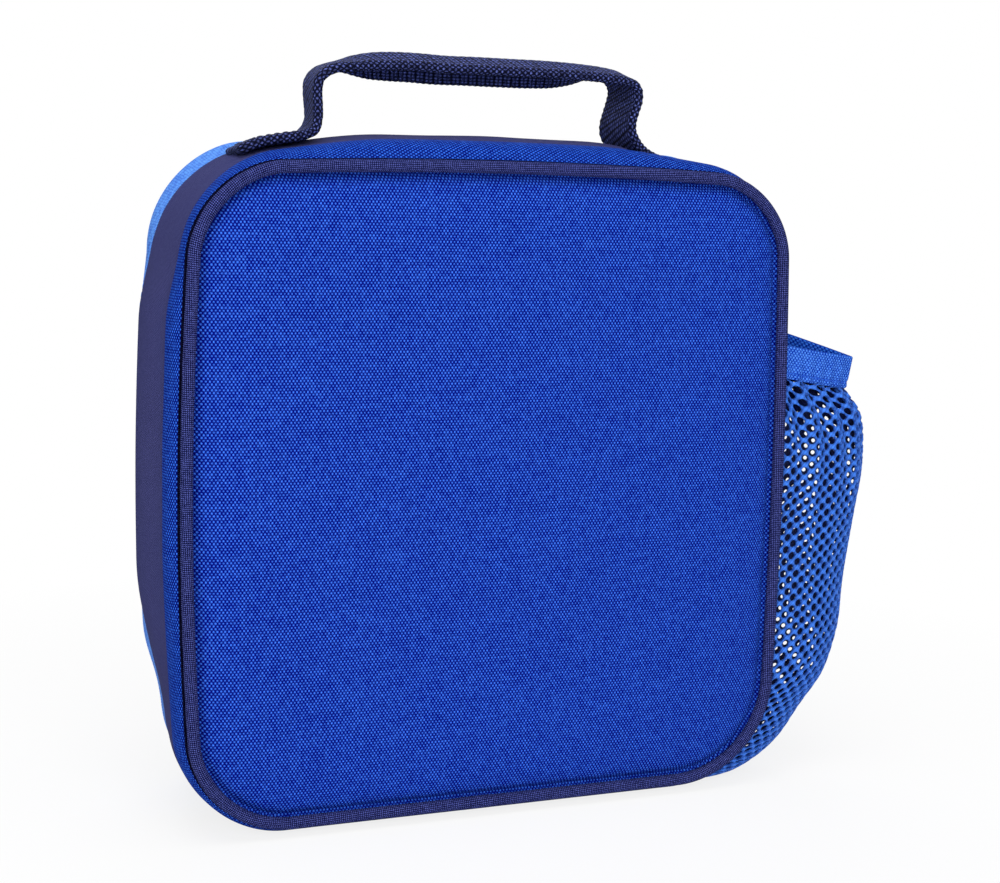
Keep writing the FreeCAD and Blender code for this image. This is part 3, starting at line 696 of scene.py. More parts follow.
def make_piping(name, depth, node, body):
    """A corded edge right round a panel, its cover lapped over at the join in the lower run."""
    line = seam_line(depth, "closed")
    normal = outward(line, closed=True)
    way = 1 if depth < DEPTH / 2 else -1
    angles = np.linspace(0, 2 * math.pi, CORD_SIDES, endpoint=False)
    circle = PIPING_RADIUS * np.column_stack([np.cos(angles), np.sin(angles)])
    lapped = (np.abs(line[:, 0] - LAP_X) < LAP_HALF) & (line[:, 1] < REAR_LOW + 1)

    def ring(place, direction, section):
        """A section, as distances out and forward, at a place on the seam line."""
        x, z = (place + direction * section[:, :1]).T
        return np.column_stack([x, REAR_Y + depth + section[:, 1], z])

    cord = [ring(p, n, circle * (LAP_SWELL if lap else 1)) for p, n, lap in zip(line, normal, lapped)]
    dress(sweep(name, cord, loop=True), PIPING, "navy_piping", body, node)
    # The sewn edge in near-black cloth is painted shadow along the seam line
    flange = [ring(p, n, FLANGE * (1, way)) for p, n in zip(line, normal)]
    dress(sweep(f"{node}_flange", flange, loop=True, flip=way < 0), SEAM_SHADOW_CLOTH, "navy_piping", body)


# Gusset

# The cloth's thickness, how deep the padded walls reach, and the gap between the two
SKIN, WALL, WALL_GAP = 1.0, 6.0, 0.3

# The cloth's ripples: their size, how they are squeezed along the depth, and where they fade out, at a
# strip's edges and towards the ground
RIPPLE_SIZE, RIPPLE_SQUEEZE, RIPPLE_EDGE, RIPPLE_LOW, RIPPLE_RISE = 26.0, 2.2, 5.0, 4.0, 20.0

# Laps of the strips under the piping, the gap between strips, how far the walls stop short of the zip, how
# far the base's cloth and padding stop short of their nodes' ends, and the padding's rounding
REAR_LAP, FRONT_LAP, STRIP_GAP, WALL_SHORT, LID_SHORT = 0.6, 0.4, 0.1, 0.3, 0.4
BASE_SHORT, PADDING_SHORT, PADDING_ROUND = 1.0, 0.5, 2.3

# Depths at which the walls start and end at the rear and the front, and those of the bound seams
WALL_START, WALL_END = 6.0, 70.0
REAR_BINDING, FRONT_BINDING = (6.2, 11.0), (66.0, 69.8)
BINDING_NEAR, BINDING_FAR, BINDING_ROUND = WALL + 0.2, WALL + 2.0, 0.9


def make_strip(name, start, end, count, material, slot, body, node, ripple, seed):
    """A strip of cloth round the gusset, with slight ripples, over its padded wall."""
    rings = strip_rings(strip_depths(start, end, count, SKIN / 2), 0.0, -SKIN)
    wave = ripple * noise_at(rings * (1, RIPPLE_SQUEEZE, 1), RIPPLE_SIZE, seed)
    away = unit((rings - (0, 0, (SEAM_LOW + SEAM_TOP) / 2)) * (1, 0, 1))
    depths = rings[..., 1] - REAR_Y
    from_edge = np.minimum(np.abs(depths - start), np.abs(depths - end))
    fade = np.clip(from_edge / RIPPLE_EDGE, 0, 1) * np.clip((rings[..., 2] - RIPPLE_LOW) / RIPPLE_RISE, 0, 1)
    rings = rings + away * (wave * fade)[..., None]
    strip = dress(sweep(name, rings), material, slot, body, node)


def make_wall(name, start, end, count, body, *nodes, round_off=(WALL - SKIN - WALL_GAP) / 2, part="round"):
    """Padding of the box behind its outer cloth, wrapped in the lining."""
    rings = strip_rings(strip_depths(start, end, count, round_off), -SKIN - WALL_GAP, -WALL, part)
    wall = dress(sweep(name, rings), LINING, "lining", body, *nodes)


def make_gusset():
    """The gusset's three strips, the padded walls behind them and the tapes over the seams' raw edges."""
    make_strip("rear_gusset_cloth", STRIP_START - REAR_LAP, BAND_START - STRIP_GAP, 18,
               ROYAL_SIDE_SHADED, "royal_cloth", "box", "rear_gusset", ripple=0.35, seed=2)
    make_strip("gusset_band_cloth", BAND_START, ZIP_START - STRIP_GAP, 22,
               NAVY, "navy_cloth", "box", "gusset_band", ripple=0.5, seed=5)
    make_strip("lid_gusset_cloth", ZIP_END + STRIP_GAP, LID_END + FRONT_LAP, 10,
               AZURE, "azure_cloth", "lid", "lid_gusset", ripple=0.35, seed=8)
    make_wall("gusset_wall", WALL_START, ZIP_START - WALL_SHORT, 10, "box",
              "gusset_foam", "gusset_lining")
    make_wall("lid_gusset_wall", ZIP_END + LID_SHORT, WALL_END, 8, "lid",
              "lid_gusset_foam", "lid_gusset_lining")
    for side, span, body in (("back", REAR_BINDING, "box"), ("front", FRONT_BINDING, "lid")):
        rings = strip_rings(strip_depths(*span, 5, BINDING_ROUND), -BINDING_NEAR, -BINDING_FAR, "closed")
        tape = sweep(f"{side}_binding_tape", rings, loop=True)
        dress(tape, BINDING, "binding", body, f"{side}_seam_binding")


def make_bottom():
    """The base between the lower corners: its cloth on the ground, its padding and lining above."""
    cloth_end = node_depths("bottom_panel")[1] - BASE_SHORT
    padding_end = node_depths("bottom_foam")[1] - PADDING_SHORT
    depths = strip_depths(STRIP_START - REAR_LAP, cloth_end, 26, SKIN / 2)
    rings = strip_rings(depths, 0.0, -SKIN, "base")
    base = dress(sweep("bottom_panel_cloth", rings), NAVY, "navy_cloth", "box", "bottom_panel")
    make_wall("bottom_padding", WALL_START, padding_end, 20, "box", "bottom_foam", "bottom_lining",
              round_off=PADDING_ROUND, part="base")


# Zip

# The tapes: thickness, lift off the gusset, lap under the cloth and gap to the zip's middle
TAPE_THICK, TAPE_LIFT, TAPE_LAP, TAPE_EDGE = 0.8, -0.15, 0.6, 1.5

# The coil: its loops' pitch, wire, reach across and height, how far its halves mesh, its lift and its
# ends. Along the top, where the sliders run, it lies higher, between their plates.
COIL_PITCH, COIL_WIRE, COIL_REACH, COIL_RISE, COIL_MESH = 1.7, 0.38, 1.55, 0.62, 0.15
COIL_LIFT, COIL_END, LOOP_STEPS, WIRE_SIDES = -1.9, 2.0, 10, 5
COIL_RAISED, RAISED_HALF, RAISED_END = 1.7, 58.0, 72.0

# Stitches: how far each dips at its ends as a share of its radius, its points and sides, and how far
# from a strip's end a row starts
STITCH_DIP, STITCH_POINTS, STITCH_SIDES, ROW_START = 1.6, 6, 6, 6.0


def along_gusset(depth, lift):
    """The gusset's line at a depth as places and outward directions by the distance along it."""
    points = gusset_point(depth, lift)
    return along_lengths(points), points, unit(gusset_point(depth, lift + 1) - points)


def make_coil(name, centre, body, node):
    """Half of the zip's coil: one wire wound in flat loops along the edge of its tape."""
    lengths, points, direction = along_gusset(centre, 0.0)
    turns = int((lengths[-1] - 2 * COIL_END) / COIL_PITCH)
    turn = np.arange(turns * LOOP_STEPS) / LOOP_STEPS
    angle = 2 * math.pi * turn
    place = COIL_END + turn * COIL_PITCH
    path = at_lengths(lengths, points, place)
    raised = eased(np.abs(path[:, 0]), RAISED_END, RAISED_HALF) * (path[:, 2] > REAR_TOP)
    lift = COIL_LIFT + COIL_RAISED * raised + COIL_RISE * np.sin(angle)
    path += at_lengths(lengths, direction, place) * lift[:, None]
    path[:, 1] += COIL_REACH * np.cos(angle)
    dress(sweep(name, tube_rings(path, COIL_WIRE, WIRE_SIDES)), COIL, "azure_coil", body, node)


def stitch(path, direction, radius):
    """A short thread along a path of points, which dips in at both ends, against the direction."""
    dip = STITCH_DIP * radius * np.linspace(-1, 1, len(path)) ** 4
    return tube_rings(path - direction * dip[:, None], radius, STITCH_SIDES)


def stitch_row(name, slot, body, depth, lift, pitch, length, radius):
    """A row of stitches along the gusset."""
    lengths, points, direction = along_gusset(depth, lift)
    stitches = []
    for i in range(int((lengths[-1] - 2 * ROW_START) / pitch)):
        place = ROW_START + i * pitch + np.linspace(0, length, STITCH_POINTS)
        path, outwards = (at_lengths(lengths, values, place) for values in (points, direction))
        stitches.append(stitch(path, outwards, radius))
    dress(many_tubes(name, stitches), AZURE_THREAD, slot, body)


def make_zip():
    """The zip's two tapes with their coils, and the stitching that holds them."""
    for half, start, end, body in (
        ("base", ZIP_START - TAPE_LAP, ZIP_MIDDLE - TAPE_EDGE, "box"),
        ("lid", ZIP_MIDDLE + TAPE_EDGE, ZIP_END + TAPE_LAP, "lid"),
    ):
        rings = strip_rings(strip_depths(start, end, 6, TAPE_THICK / 2), TAPE_LIFT, TAPE_LIFT - TAPE_THICK)
        dress(sweep(f"{half}_tape", rings), TAPE, "azure_tape", body, f"{half}_zip_tape")
    for half, way, body in (("base", -1, "box"), ("lid", 1, "lid")):
        make_coil(f"{half}_coil", ZIP_MIDDLE + way * (COIL_REACH - COIL_MESH), body, f"{half}_zip_coil")
    stitch_row("band_stitching", "azure_tape", "box",
               depth=ZIP_START + 1.0, lift=TAPE_LIFT, pitch=3.2, length=2.3, radius=0.2)
    stitch_row("lid_stitching", "azure_cloth", "lid",
               depth=ZIP_END + 2.0, lift=0.1, pitch=3.6, length=2.7, radius=0.28)


# Sliders and pulls

# A slider's plates: thickness, edge and corner rounding, how far the upper one lies below the pin, the
# shoulder behind the nose, and the widths of nose and tail as shares of the whole
PLATE, PLATE_BEVEL, PLATE_ROUND, BELOW_PIN = 1.4, 0.4, 1.2, 2.0
SHOULDER, NOSE_SHARE, TAIL_SHARE = 2.5, 0.8, 0.62

# The post between the plates: half its length and width, its rounding and edge, and its place behind
# the nose. The bridge over the pin: reach, depth of its feet, how much less it rises than the slider
# stands above its upper plate, bend, points, and its section's half-sizes and squareness.
POST_LONG, POST_WIDE, POST_ROUND, POST_BEVEL, POST_PLACE = 1.1, 0.5, 0.3, 0.1, 1.4
BRIDGE_REACH, BRIDGE_FOOT, BRIDGE_CLEAR, BRIDGE_BEND, BRIDGE_STEPS = 3.2, 0.4, 0.05, 0.7, 17
BRIDGE_WIDE, BRIDGE_THICK, BRIDGE_SQUARE = 0.95, 0.35, 0.6

# A pull's tab: thickness, edge and corner rounding, its slot's half-width and end, the neck's place as a
# multiple of that end, the widths of heel and neck as shares of the tip's, and the hole's distance from
# the tip and its radius. The pin: radius, points along it and sides.
TAB, TAB_BEVEL, TAB_ROUND, SLOT_HALF, SLOT_END, NECK_PLACE = 1.6, 0.45, 1.6, 1.4, 3.3, 1.6
HEEL_SHARE, NECK_SHARE, HOLE_PLACE, HOLE_RADIUS = 0.86, 0.8, 4.2, 1.7
PIN_RADIUS, PIN_STEPS, PIN_SIDES = 0.75, 5, 12

# The most of a side that the rounding of a corner takes
MOST_ROUND = 0.45


def flat_shape(name, outlines, thickness, bevel, place):
    """A flat plate at a place, with rounded edges, from closed outlines of (x, y), the later ones holes."""
    curve = bpy.data.curves.new(name, "CURVE")
    curve.dimensions = "2D"
    curve.fill_mode = "BOTH"
    curve.extrude = (thickness / 2 - bevel) * MM
    curve.bevel_depth = bevel * MM
    curve.bevel_resolution = 3
    curve.offset = -bevel * MM
    for outline in outlines:
        spline = curve.splines.new("POLY")
        spline.points.add(len(outline) - 1)
        for point, (x, y) in zip(spline.points, outline):
            point.co = (x * MM, y * MM, 0, 1)
        spline.use_cyclic_u = True
    thing = linked(name, curve)
    bpy.context.view_layer.update()
    mesh = bpy.data.meshes.new_from_object(thing.evaluated_get(bpy.context.evaluated_depsgraph_get()))
    bpy.data.objects.remove(thing)
    mesh.transform(Matrix.Translation(Vector(place) * MM))
    return linked(name, mesh)


def rounded(points, radius, steps=5):
    """A closed outline with its corners rounded."""
    points = np.asarray(points, float)
    out = []
    for before, here, after in zip(np.roll(points, 1, 0), points, np.roll(points, -1, 0)):
        start, end = (
            here + (other - here) * min(MOST_ROUND, radius / np.linalg.norm(other - here))
            for other in (before, after)
        )
        out += [(1 - s) ** 2 * start + 2 * s * (1 - s) * here + s**2 * end for s in np.linspace(0, 1, steps)]
    return out


def metal_piece(name, parts, node):
    """A slider or pull made of several parts, which stands for the CAD node that its body is named after."""
    piece = merged(name, parts)
    if "weave" not in piece.data.uv_layers:
        piece.data.uv_layers.new(name="weave")
    piece.data.polygons.foreach_set("use_smooth", [True] * len(piece.data.polygons))
    dress(piece, METAL, "slider_metal", node, node)


def bridge_rings(path):
    """Rings of a flat bar, bent along a path in the XZ plane."""
    tangent = unit(np.gradient(path, axis=0))
    normal = np.column_stack([-tangent[:, 2], np.zeros(len(path)), tangent[:, 0]])
    angles = np.linspace(0, 2 * math.pi, 12, endpoint=False)
    shape = np.column_stack([np.cos(angles), np.sin(angles)])
    shape = np.sign(shape) * np.abs(shape) ** BRIDGE_SQUARE * (BRIDGE_WIDE, BRIDGE_THICK)
    return [p + shape[:, :1] * (0, 1, 0) + shape[:, 1:] * n for p, n in zip(path, normal)]


def pin_height(hand):
    """The height of the pin that a pull hangs on."""
    joint = next(j for j in frame["joints"] if j["name"] == f"{hand}_pull_turn")
    return joint["pos_m"][2] / MM


def make_slider(hand, way):
    """A slider astride the zip, with the bridge that holds its pull, and the pull lying along the zip."""
    low, high = corners(f"{hand}_slider")
    middle, y = (low[0] + high[0]) / 2, (low[1] + high[1]) / 2
    nose, half_width = -way * (high[0] - low[0]) / 2, (high[1] - low[1]) / 2
    side = [(nose, NOSE_SHARE), (nose + way * SHOULDER, 1), (0, 1), (-nose, TAIL_SHARE)]
    plan = [(x, -share * half_width) for x, share in side]
    plan += [(x, share * half_width) for x, share in reversed(side)]
    pin_z = pin_height(hand)
    plate_top = pin_z - BELOW_PIN
    parts = [
        flat_shape(f"{hand}_plate", [rounded(plan, PLATE_ROUND)], PLATE, PLATE_BEVEL, (middle, y, z))
        for z in (plate_top - PLATE / 2, low[2] + PLATE / 2)
    ]
    post = [(x * POST_LONG, across * POST_WIDE) for x, across in ((-1, -1), (1, -1), (1, 1), (-1, 1))]
    post_place = (middle + nose + way * POST_PLACE, y, (plate_top + low[2]) / 2)
    parts.append(flat_shape(
        f"{hand}_post", [rounded(post, POST_ROUND)], plate_top - low[2], POST_BEVEL, post_place))
    turn = np.linspace(0, math.pi, BRIDGE_STEPS)
    rise = high[2] - plate_top - BRIDGE_CLEAR
    path = np.column_stack([
        middle - BRIDGE_REACH * np.cos(turn),
        np.full(BRIDGE_STEPS, y),
        plate_top - BRIDGE_FOOT + rise * np.sin(turn) ** BRIDGE_BEND,
    ])
    parts.append(sweep(f"{hand}_bridge", bridge_rings(path)))
    metal_piece(f"{hand}_slider_body", parts, f"{hand}_slider")
    make_pull(hand, way, middle, y, pin_z)


def make_pull(hand, way, middle, y, pin_z):
    """The pull: a tab with a slot for the bridge and a hole at its end, and the pin that it turns on."""
    low, high = corners(f"{hand}_pull")
    half = (high[1] - low[1]) / 2
    heel, length = sorted((abs(high[0] - middle), abs(low[0] - middle)))
    heel_half, neck_half = half * HEEL_SHARE, half * NECK_SHARE
    slot = [(-heel, SLOT_HALF), (SLOT_END, SLOT_HALF), (SLOT_END, -SLOT_HALF), (-heel, -SLOT_HALF)]
    near = [(-heel, -heel_half), (SLOT_END * NECK_PLACE, -neck_half), (length, -half)]
    far = [(x, -across) for x, across in reversed(near)]
    outline = [(x * way, across) for x, across in slot + near + far]
    angles = np.linspace(0, 2 * math.pi, 20, endpoint=False)
    hole = HOLE_RADIUS * np.column_stack([np.cos(angles), np.sin(angles)]) + ((length - HOLE_PLACE) * way, 0)
    tab = flat_shape(
        f"{hand}_tab", [rounded(outline, TAB_ROUND), hole], TAB, TAB_BEVEL, (middle, y, pin_z))
    path = np.linspace((middle, y - neck_half, pin_z), (middle, y + neck_half, pin_z), PIN_STEPS)
    pin = sweep(f"{hand}_pin", tube_rings(path, PIN_RADIUS, PIN_SIDES))
    metal_piece(f"{hand}_pull_tab", [tab, pin], f"{hand}_pull")


# Handle

# The step between the strap's rings, the crease that its halves droop from, how far its feet press into
# the gusset, their tilt, and how far below and above the loop's lower end it bends
STRAP_STEP = 0.5
CREASE, CREASE_HALF = -0.5, 4.0
LEFT_PRESS, RIGHT_PRESS, FOOT_TILT = 0.4, 1.4, 0.06

# Points across a face and round an edge of the strap, and how finely and how far past its edges its droop
# is reckoned. The rounding of its ends and of their corners, the shares of thickness and width left
# there, how far a curl widens it, and the ribs' mean height.
FACE_POINTS, EDGE_POINTS, DROOP_POINTS, DROOP_PAST = 27, 9, 109, 1.0
END_ROUND, CORNER_ROUND, END_THICK, END_WIDE, CURL_SPREAD, RIB_MEAN = 2.0, 7.0, 0.3, 0.6, 0.12, 0.6

# The box of stitches on each foot: half its width, its distance from the end, its length, the stitches'
# pitch and radius, where in its pitch each starts and how long it is, and its lift. One part in FLAT_PART
# along the strap, its left foot lies flat.
SEAM_HALF, SEAM_MARGIN, SEAM_LENGTH, SEAM_PITCH, SEAM_RADIUS = 8.6, 4.0, 17.0, 2.7, 0.3
SEAM_FROM, SEAM_SHARE, SEAM_LIFT, FLAT_PART = 0.12, 0.72, 0.12, 40

# The strap's middle line: x, height (None where it lies on the gusset), the degrees by which its near
# and far halves droop from the crease, and how far x moves with each millimetre across it
STRAP_LINE = [
    (-88.5, None, 0, 0, 0.0),
    (-82.0, None, 0, 0, 0.0),
    (-73.0, None, 0, 0, 0.0),
    (-66.5, None, 0, 0, 0.05),
    (-62.3, 233.4, 0, 0, 0.1),
    (-61.0, 236.8, 0, 0, 0.14),
    (-61.0, 241.2, 0, 0, 0.14),
    (-61.3, 246.0, 0, 0, 0.13),
    (-60.8, 249.6, 0, 0, 0.1),
    (-58.4, 252.5, 2, 0, 0.06),
    (-55.4, 254.0, 4, 0, 0.03),
    (-52.0, 255.0, 8, 2, 0.0),
    (-48.8, 256.3, 15, 10, 0.0),
    (-44.5, 257.4, 20, 22, 0.0),
    (-40.5, 258.0, 24, 30, 0.0),
    (-34.0, 258.4, 25, 35, 0.0),
    (-24.0, 258.4, 25, 36, 0.0),
    (-16.0, 258.1, 25, 36, 0.0),
    (-5.0, 258.2, 25, 36, 0.0),
    (8.0, 258.2, 25, 36, 0.0),
    (20.6, 258.2, 25, 35, 0.0),
    (30.0, 258.0, 24, 30, 0.0),
    (37.0, 257.7, 22, 20, 0.0),
    (43.6, 257.2, 20, 6, 0.0),
    (49.3, 256.1, 17, 0, 0.0),
    (52.8, 253.9, 10, 0, 0.0),
    (53.9, 250.9, 4, 0, -0.01),
    (53.4, 247.3, 0, 0, -0.02),
    (52.1, 243.0, 0, 0, -0.02),
    (51.2, 239.4, 0, 0, -0.02),
    (51.3, 236.3, 0, 0, -0.02),
    (52.8, 233.3, 0, 0, -0.02),
    (56.4, None, 0, 0, 0.0),
    (62.0, None, 0, 0, 0.0),
    (70.0, None, 0, 0, 0.0),
    (79.0, None, 0, 0, 0.0),
]


def top_height(x, depth):
    """The height of the gusset's top over a place."""
    points = gusset_point(depth)
    upper = points[points[:, 2] > (SEAM_LOW + SEAM_TOP) / 2]
    order = np.argsort(upper[:, 0])
    return np.interp(x, upper[order, 0], upper[order, 2])


def strap_path():
    """The strap's middle line by length: x, height, near and far droop, splay, and if it lies."""
    table = []
    for x, z, near, far, splay in STRAP_LINE:
        lies = float(z is None)
        if z is None:
            press = LEFT_PRESS if x < 0 else RIGHT_PRESS
            z = top_height(x, (BAND_START + ZIP_START) / 2) + STRAP_THICK / 2 - press
        table.append((x, z, math.radians(near), math.radians(far), splay, lies))
    table = np.array(table)
    return np.column_stack([along_lengths(table[:, :2]), table])


def drooped(across, near, far):
    """Where places across the strap lie once its halves droop: sideways, down, and their tilt."""
    edge = STRAP_WIDE / 2 + DROOP_PAST
    fine = np.linspace(-edge, edge, DROOP_POINTS)
    tilt = np.interp(fine, [CREASE - CREASE_HALF, CREASE + CREASE_HALF], [-near, far])
    side, drop = (np.cumsum(part) * (fine[1] - fine[0]) for part in (np.cos(tilt), np.sin(tilt)))
    side, drop = side - np.interp(CREASE, fine, side) + CREASE, drop - np.interp(CREASE, fine, drop)
    return (np.interp(across, fine, values) for values in (side, drop, tilt))


def strap_section():
    """The strap's section as places across it and off its middle: top face, edge, lower face, edge."""
    radius = STRAP_THICK / 2
    flat = np.linspace(-STRAP_FACE / 2, STRAP_FACE / 2, FACE_POINTS)
    turn = np.linspace(0, math.pi, EDGE_POINTS)[1:-1]
    reach = STRAP_FACE / 2 + radius * np.sin(turn)
    across = np.concatenate([flat, reach, flat[::-1], -reach])
    thick = np.full(FACE_POINTS, radius)
    off = np.concatenate([thick, radius * np.cos(turn), -thick, -radius * np.cos(turn)])
    ring = np.column_stack([across, off])
    return across, off, along_lengths(np.vstack([ring, ring[:1]]))


def strap_rings(places, table):
    """The strap's rings, with its ribs and edge curls in relief and its ends rounded."""
    x, z, near, far, splay, lies = smooth_curve(table, places).T
    tangent = unit(np.column_stack([np.gradient(x), np.gradient(z)]))
    across, off, around = strap_section()
    on_edge = np.abs(across) > STRAP_FACE / 2 + 1e-6
    rings = []
    for i, place in enumerate(places):
        rib = np.abs(np.sin(math.pi * (place + RIB_SLANT * around[:-1]) / RIB_PITCH))
        curl = CURL_HEIGHT * math.sin(2 * math.pi * place / CURL_PITCH)
        end = min(place, places[-1] - place)
        round_end, round_corner = (
            math.sqrt(1 - (1 - min(end / size, 1)) ** 2) for size in (END_ROUND, CORNER_ROUND)
        )
        relief = np.where(on_edge, 1 + curl, 1 + RIB_HEIGHT * (rib - RIB_MEAN))
        thick = off * relief * (END_THICK + (1 - END_THICK) * round_end)
        spread = np.where(on_edge, 1 + curl * CURL_SPREAD, 1.0)
        wide = across * spread * (END_WIDE + (1 - END_WIDE) * round_corner)
        side, drop, tilt = drooped(wide, near[i], far[i])
        level = thick * np.cos(tilt) - drop
        reach = side + thick * np.sin(tilt)
        rings.append(np.column_stack([
            x[i] + splay[i] * reach - tangent[i, 1] * level,
            STRAP_Y + reach,
            z[i] + tangent[i, 0] * level - FOOT_TILT * lies[i] * reach,
        ]))
    return np.array(rings), around


def foot_seams(rings, places):
    """The box of stitches, with a cross in it, that holds each foot down."""
    seams = []
    for start in (SEAM_MARGIN, places[-1] - SEAM_MARGIN - SEAM_LENGTH):
        end = start + SEAM_LENGTH
        box = np.array([(start, -SEAM_HALF), (end, -SEAM_HALF), (end, SEAM_HALF), (start, SEAM_HALF)])
        seams += [(box[a], box[b]) for a, b in ((0, 1), (1, 2), (2, 3), (3, 0), (0, 2), (1, 3))]
    # A ring in the left foot, where the strap lies flat, says where each point across it is
    flat_ring = rings[len(places) // FLAT_PART, :FACE_POINTS, 1]
    share = SEAM_FROM + SEAM_SHARE * np.linspace(0, 1, STITCH_POINTS)
    stitches = []
    for first, last in seams:
        count = int(np.linalg.norm(last - first) / SEAM_PITCH)
        for k in range(count):
            length, across = (first + (last - first) * ((k + share) / count)[:, None]).T
            i = np.interp(length, places, np.arange(len(places)))
            j = np.clip((across / STRAP_FACE + 0.5) * (FACE_POINTS - 1), 0, FACE_POINTS - 1)
            path = rings[i.round().astype(int), j.round().astype(int)] + (0, 0, SEAM_LIFT)
            path[:, 1] = np.interp(j, np.arange(FACE_POINTS), flat_ring)
            stitches.append(stitch(path, np.array([(0, 0, 1)]), SEAM_RADIUS))
    dress(many_tubes("foot_stitching", stitches), THREAD, "webbing", "box")


def make_strap():
    """One length of webbing: sewn feet, upright legs, and a grip that droops along both its edges."""
    table = strap_path()
    places = np.arange(0, table[-1, 0], STRAP_STEP)
    rings, around = strap_rings(places, table)
    strap = sweep("handle_strap", rings, around=around, along=places)
    strap.data.materials.append(WEBBING)
    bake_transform(strap)
    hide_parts("handle_foot_left", "handle_foot_right", "handle_loop")
    foot_seams(rings, places)


# Pocket

# The pocket's outer edge: x, height, and where its cross-section meets the gusset, as a height on the
# side or, below the side, as an angle down the lower corner
POCKET_EDGE = [
    (146.6, 143.9, 150.0, 0.0),
    (149.6, 140.2, 145.5, 0.0),
    (153.4, 135.4, 139.5, 0.0),
    (155.4, 129.0, 132.0, 0.0),
    (156.0, 121.5, 124.0, 0.0),
    (155.5, 112.0, 114.0, 0.0),
    (153.8, 102.0, 104.0, 0.0),
    (150.2, 83.0, 84.5, 0.0),
    (148.4, 68.0, 69.5, 0.0),
    (145.8, 50.3, 53.0, 0.0),
    (139.2, 34.9, 45.0, 6.0),
    (132.0, 26.2, 45.0, 16.0),
    (121.3, 12.8, 45.0, 34.0),
    (111.0, 5.6, 45.0, 50.0),
    (100.5, 1.6, 45.0, 63.0),
    (88.0, 1.2, 45.0, 77.0),
]

# The depths of the pocket's near edge, far edge and outer edge, how far its far edge rises towards the
# mouth, how sharply the mouth is folded at its outer end, and the points of its surface
POCKET_NEAR, POCKET_FAR, POCKET_TIP = 3.4, 37.4, 20.0
FAR_RISE, FAR_FADE, FOLD, FOLD_FADE = 6.0, 25.0, 0.75, 22.0
EDGE_SHARE, SECTION_POINTS, LEVELS = 0.6, 61, 120

# The net: yarn, gathers under the elastic, slack, and how much its holes vary. A mesh is left out if its
# middle is further past the edge than a share of its half-width. Points closer than WELD are joined, and
# edges shorter than SLIVER dissolved. The material slot is that of the faces that look into the pocket,
# which carry a darker copy of the net or the elastic as painted shade.
NET_THICK = 1.4
GATHER, GATHER_PITCH, GATHER_FADE, GATHER_EDGE, GATHER_OUT = 2.3, 12.5, 20.0, 8.0, 0.6
SAG, SAG_SIZE, SAG_SEED, VARIES, VARIES_SIZE, VARIES_SEED = 0.5, 22.0, 3, 0.14, 3.0, 9
EDGE_KEEP, WELD, SLIVER = 0.6, 0.05, 0.02
SHADED_INSIDE_SLOT = 1

# The elastic: size, lean at its outer end, rounding of its edges with the square of the least share of
# thickness there, points along it, ripple, and the groove and stitches of its hem
ELASTIC_TALL, ELASTIC_THICK, ELASTIC_LEAN = 12.1, 1.7, 2.6
ELASTIC_ROUND, ELASTIC_LEAST, ELASTIC_STEPS = 0.8, 0.02, 150
ELASTIC_RIPPLE, ELASTIC_PITCH = 0.3, 6.5
HEM, HEM_GROOVE, HEM_WIDE, HEM_LIFT = 2.2, 0.55, 0.55, 0.1
HEM_PITCH, HEM_LONG, HEM_RADIUS = 2.4, 1.7, 0.24


def right_side_point(depth, height, angle):
    """A place on the gusset's right side at a height, or below it at an angle round the lower corner."""
    points = gusset_point(depth)
    right = points[(points[:, 0] > BASE_HALF) & (points[:, 2] < REAR_TOP - TOP_RIGHT)]
    if angle <= 0:
        order = np.argsort(right[:, 2])
        return np.array([np.interp(height, right[order, 2], right[order, 0]), REAR_Y + depth, height])
    x, z = REAR_HALF - LOW_RIGHT, REAR_LOW + LOW_RIGHT
    angles = np.degrees(np.arctan2(z - right[:, 2], right[:, 0] - x))
    order = np.argsort(angles)
    return at_lengths(angles[order], right[order], [angle])[0]


class Pocket:
    """The pocket's surface, by the distance down its outer edge and the distance across from that edge."""

    def __init__(self):
        edge = np.array([(x, REAR_Y + POCKET_TIP, z) for x, z, _, _ in POCKET_EDGE])
        near = np.array([right_side_point(POCKET_NEAR, h, a) for _, _, h, a in POCKET_EDGE])
        rises = FAR_RISE * np.exp(-along_lengths(edge) / FAR_FADE)
        far = np.array([
            right_side_point(POCKET_FAR, height + rise, angle)
            for (_, _, height, angle), rise in zip(POCKET_EDGE, rises)
        ])
        down = along_lengths(edge * EDGE_SHARE + near * (1 - EDGE_SHARE))
        self.rows = np.column_stack([down, near, edge, far])
        self.length = down[-1]
        self.levels = np.linspace(0, self.length, LEVELS)
        self.sections = [self.section(level) for level in self.levels]
        lengths = np.array([along_lengths(section) for section in self.sections])
        self.reach = lengths - lengths[:, SECTION_POINTS // 2, None]

    def section(self, level):
        """The curve across the pocket from its near edge round its tip to its far edge."""
        row = smooth_curve(self.rows, level)[0]
        near, tip, far = row[0:3], row[3:6], row[6:9]
        middle, side = (near + far) / 2, (near - far) / 2
        power = 1.0 + FOLD * math.exp(-level / FOLD_FADE)
        turn = np.linspace(0, math.pi, SECTION_POINTS)
        across = np.sign(np.cos(turn)) * np.abs(np.cos(turn)) ** power
        return middle + side * across[:, None] + (tip - middle) * (np.sin(turn) ** power)[:, None]

    def at(self, level, across):
        """The place on the surface at a distance down the outer edge and across from it."""
        spot = min(max(level / self.length, 0), 1) * (LEVELS - 1)
        i = min(int(spot), LEVELS - 2)
        upper, lower = (at_lengths(self.reach[k], self.sections[k], [across])[0] for k in (i, i + 1))
        return upper + (lower - upper) * (spot - i)

    def width(self, level):
        """How far the surface reaches at a level, to its near edge and to its far edge."""
        row = self.reach[int(np.interp(level, self.levels, np.arange(LEVELS)))]
        return row[0], row[-1]


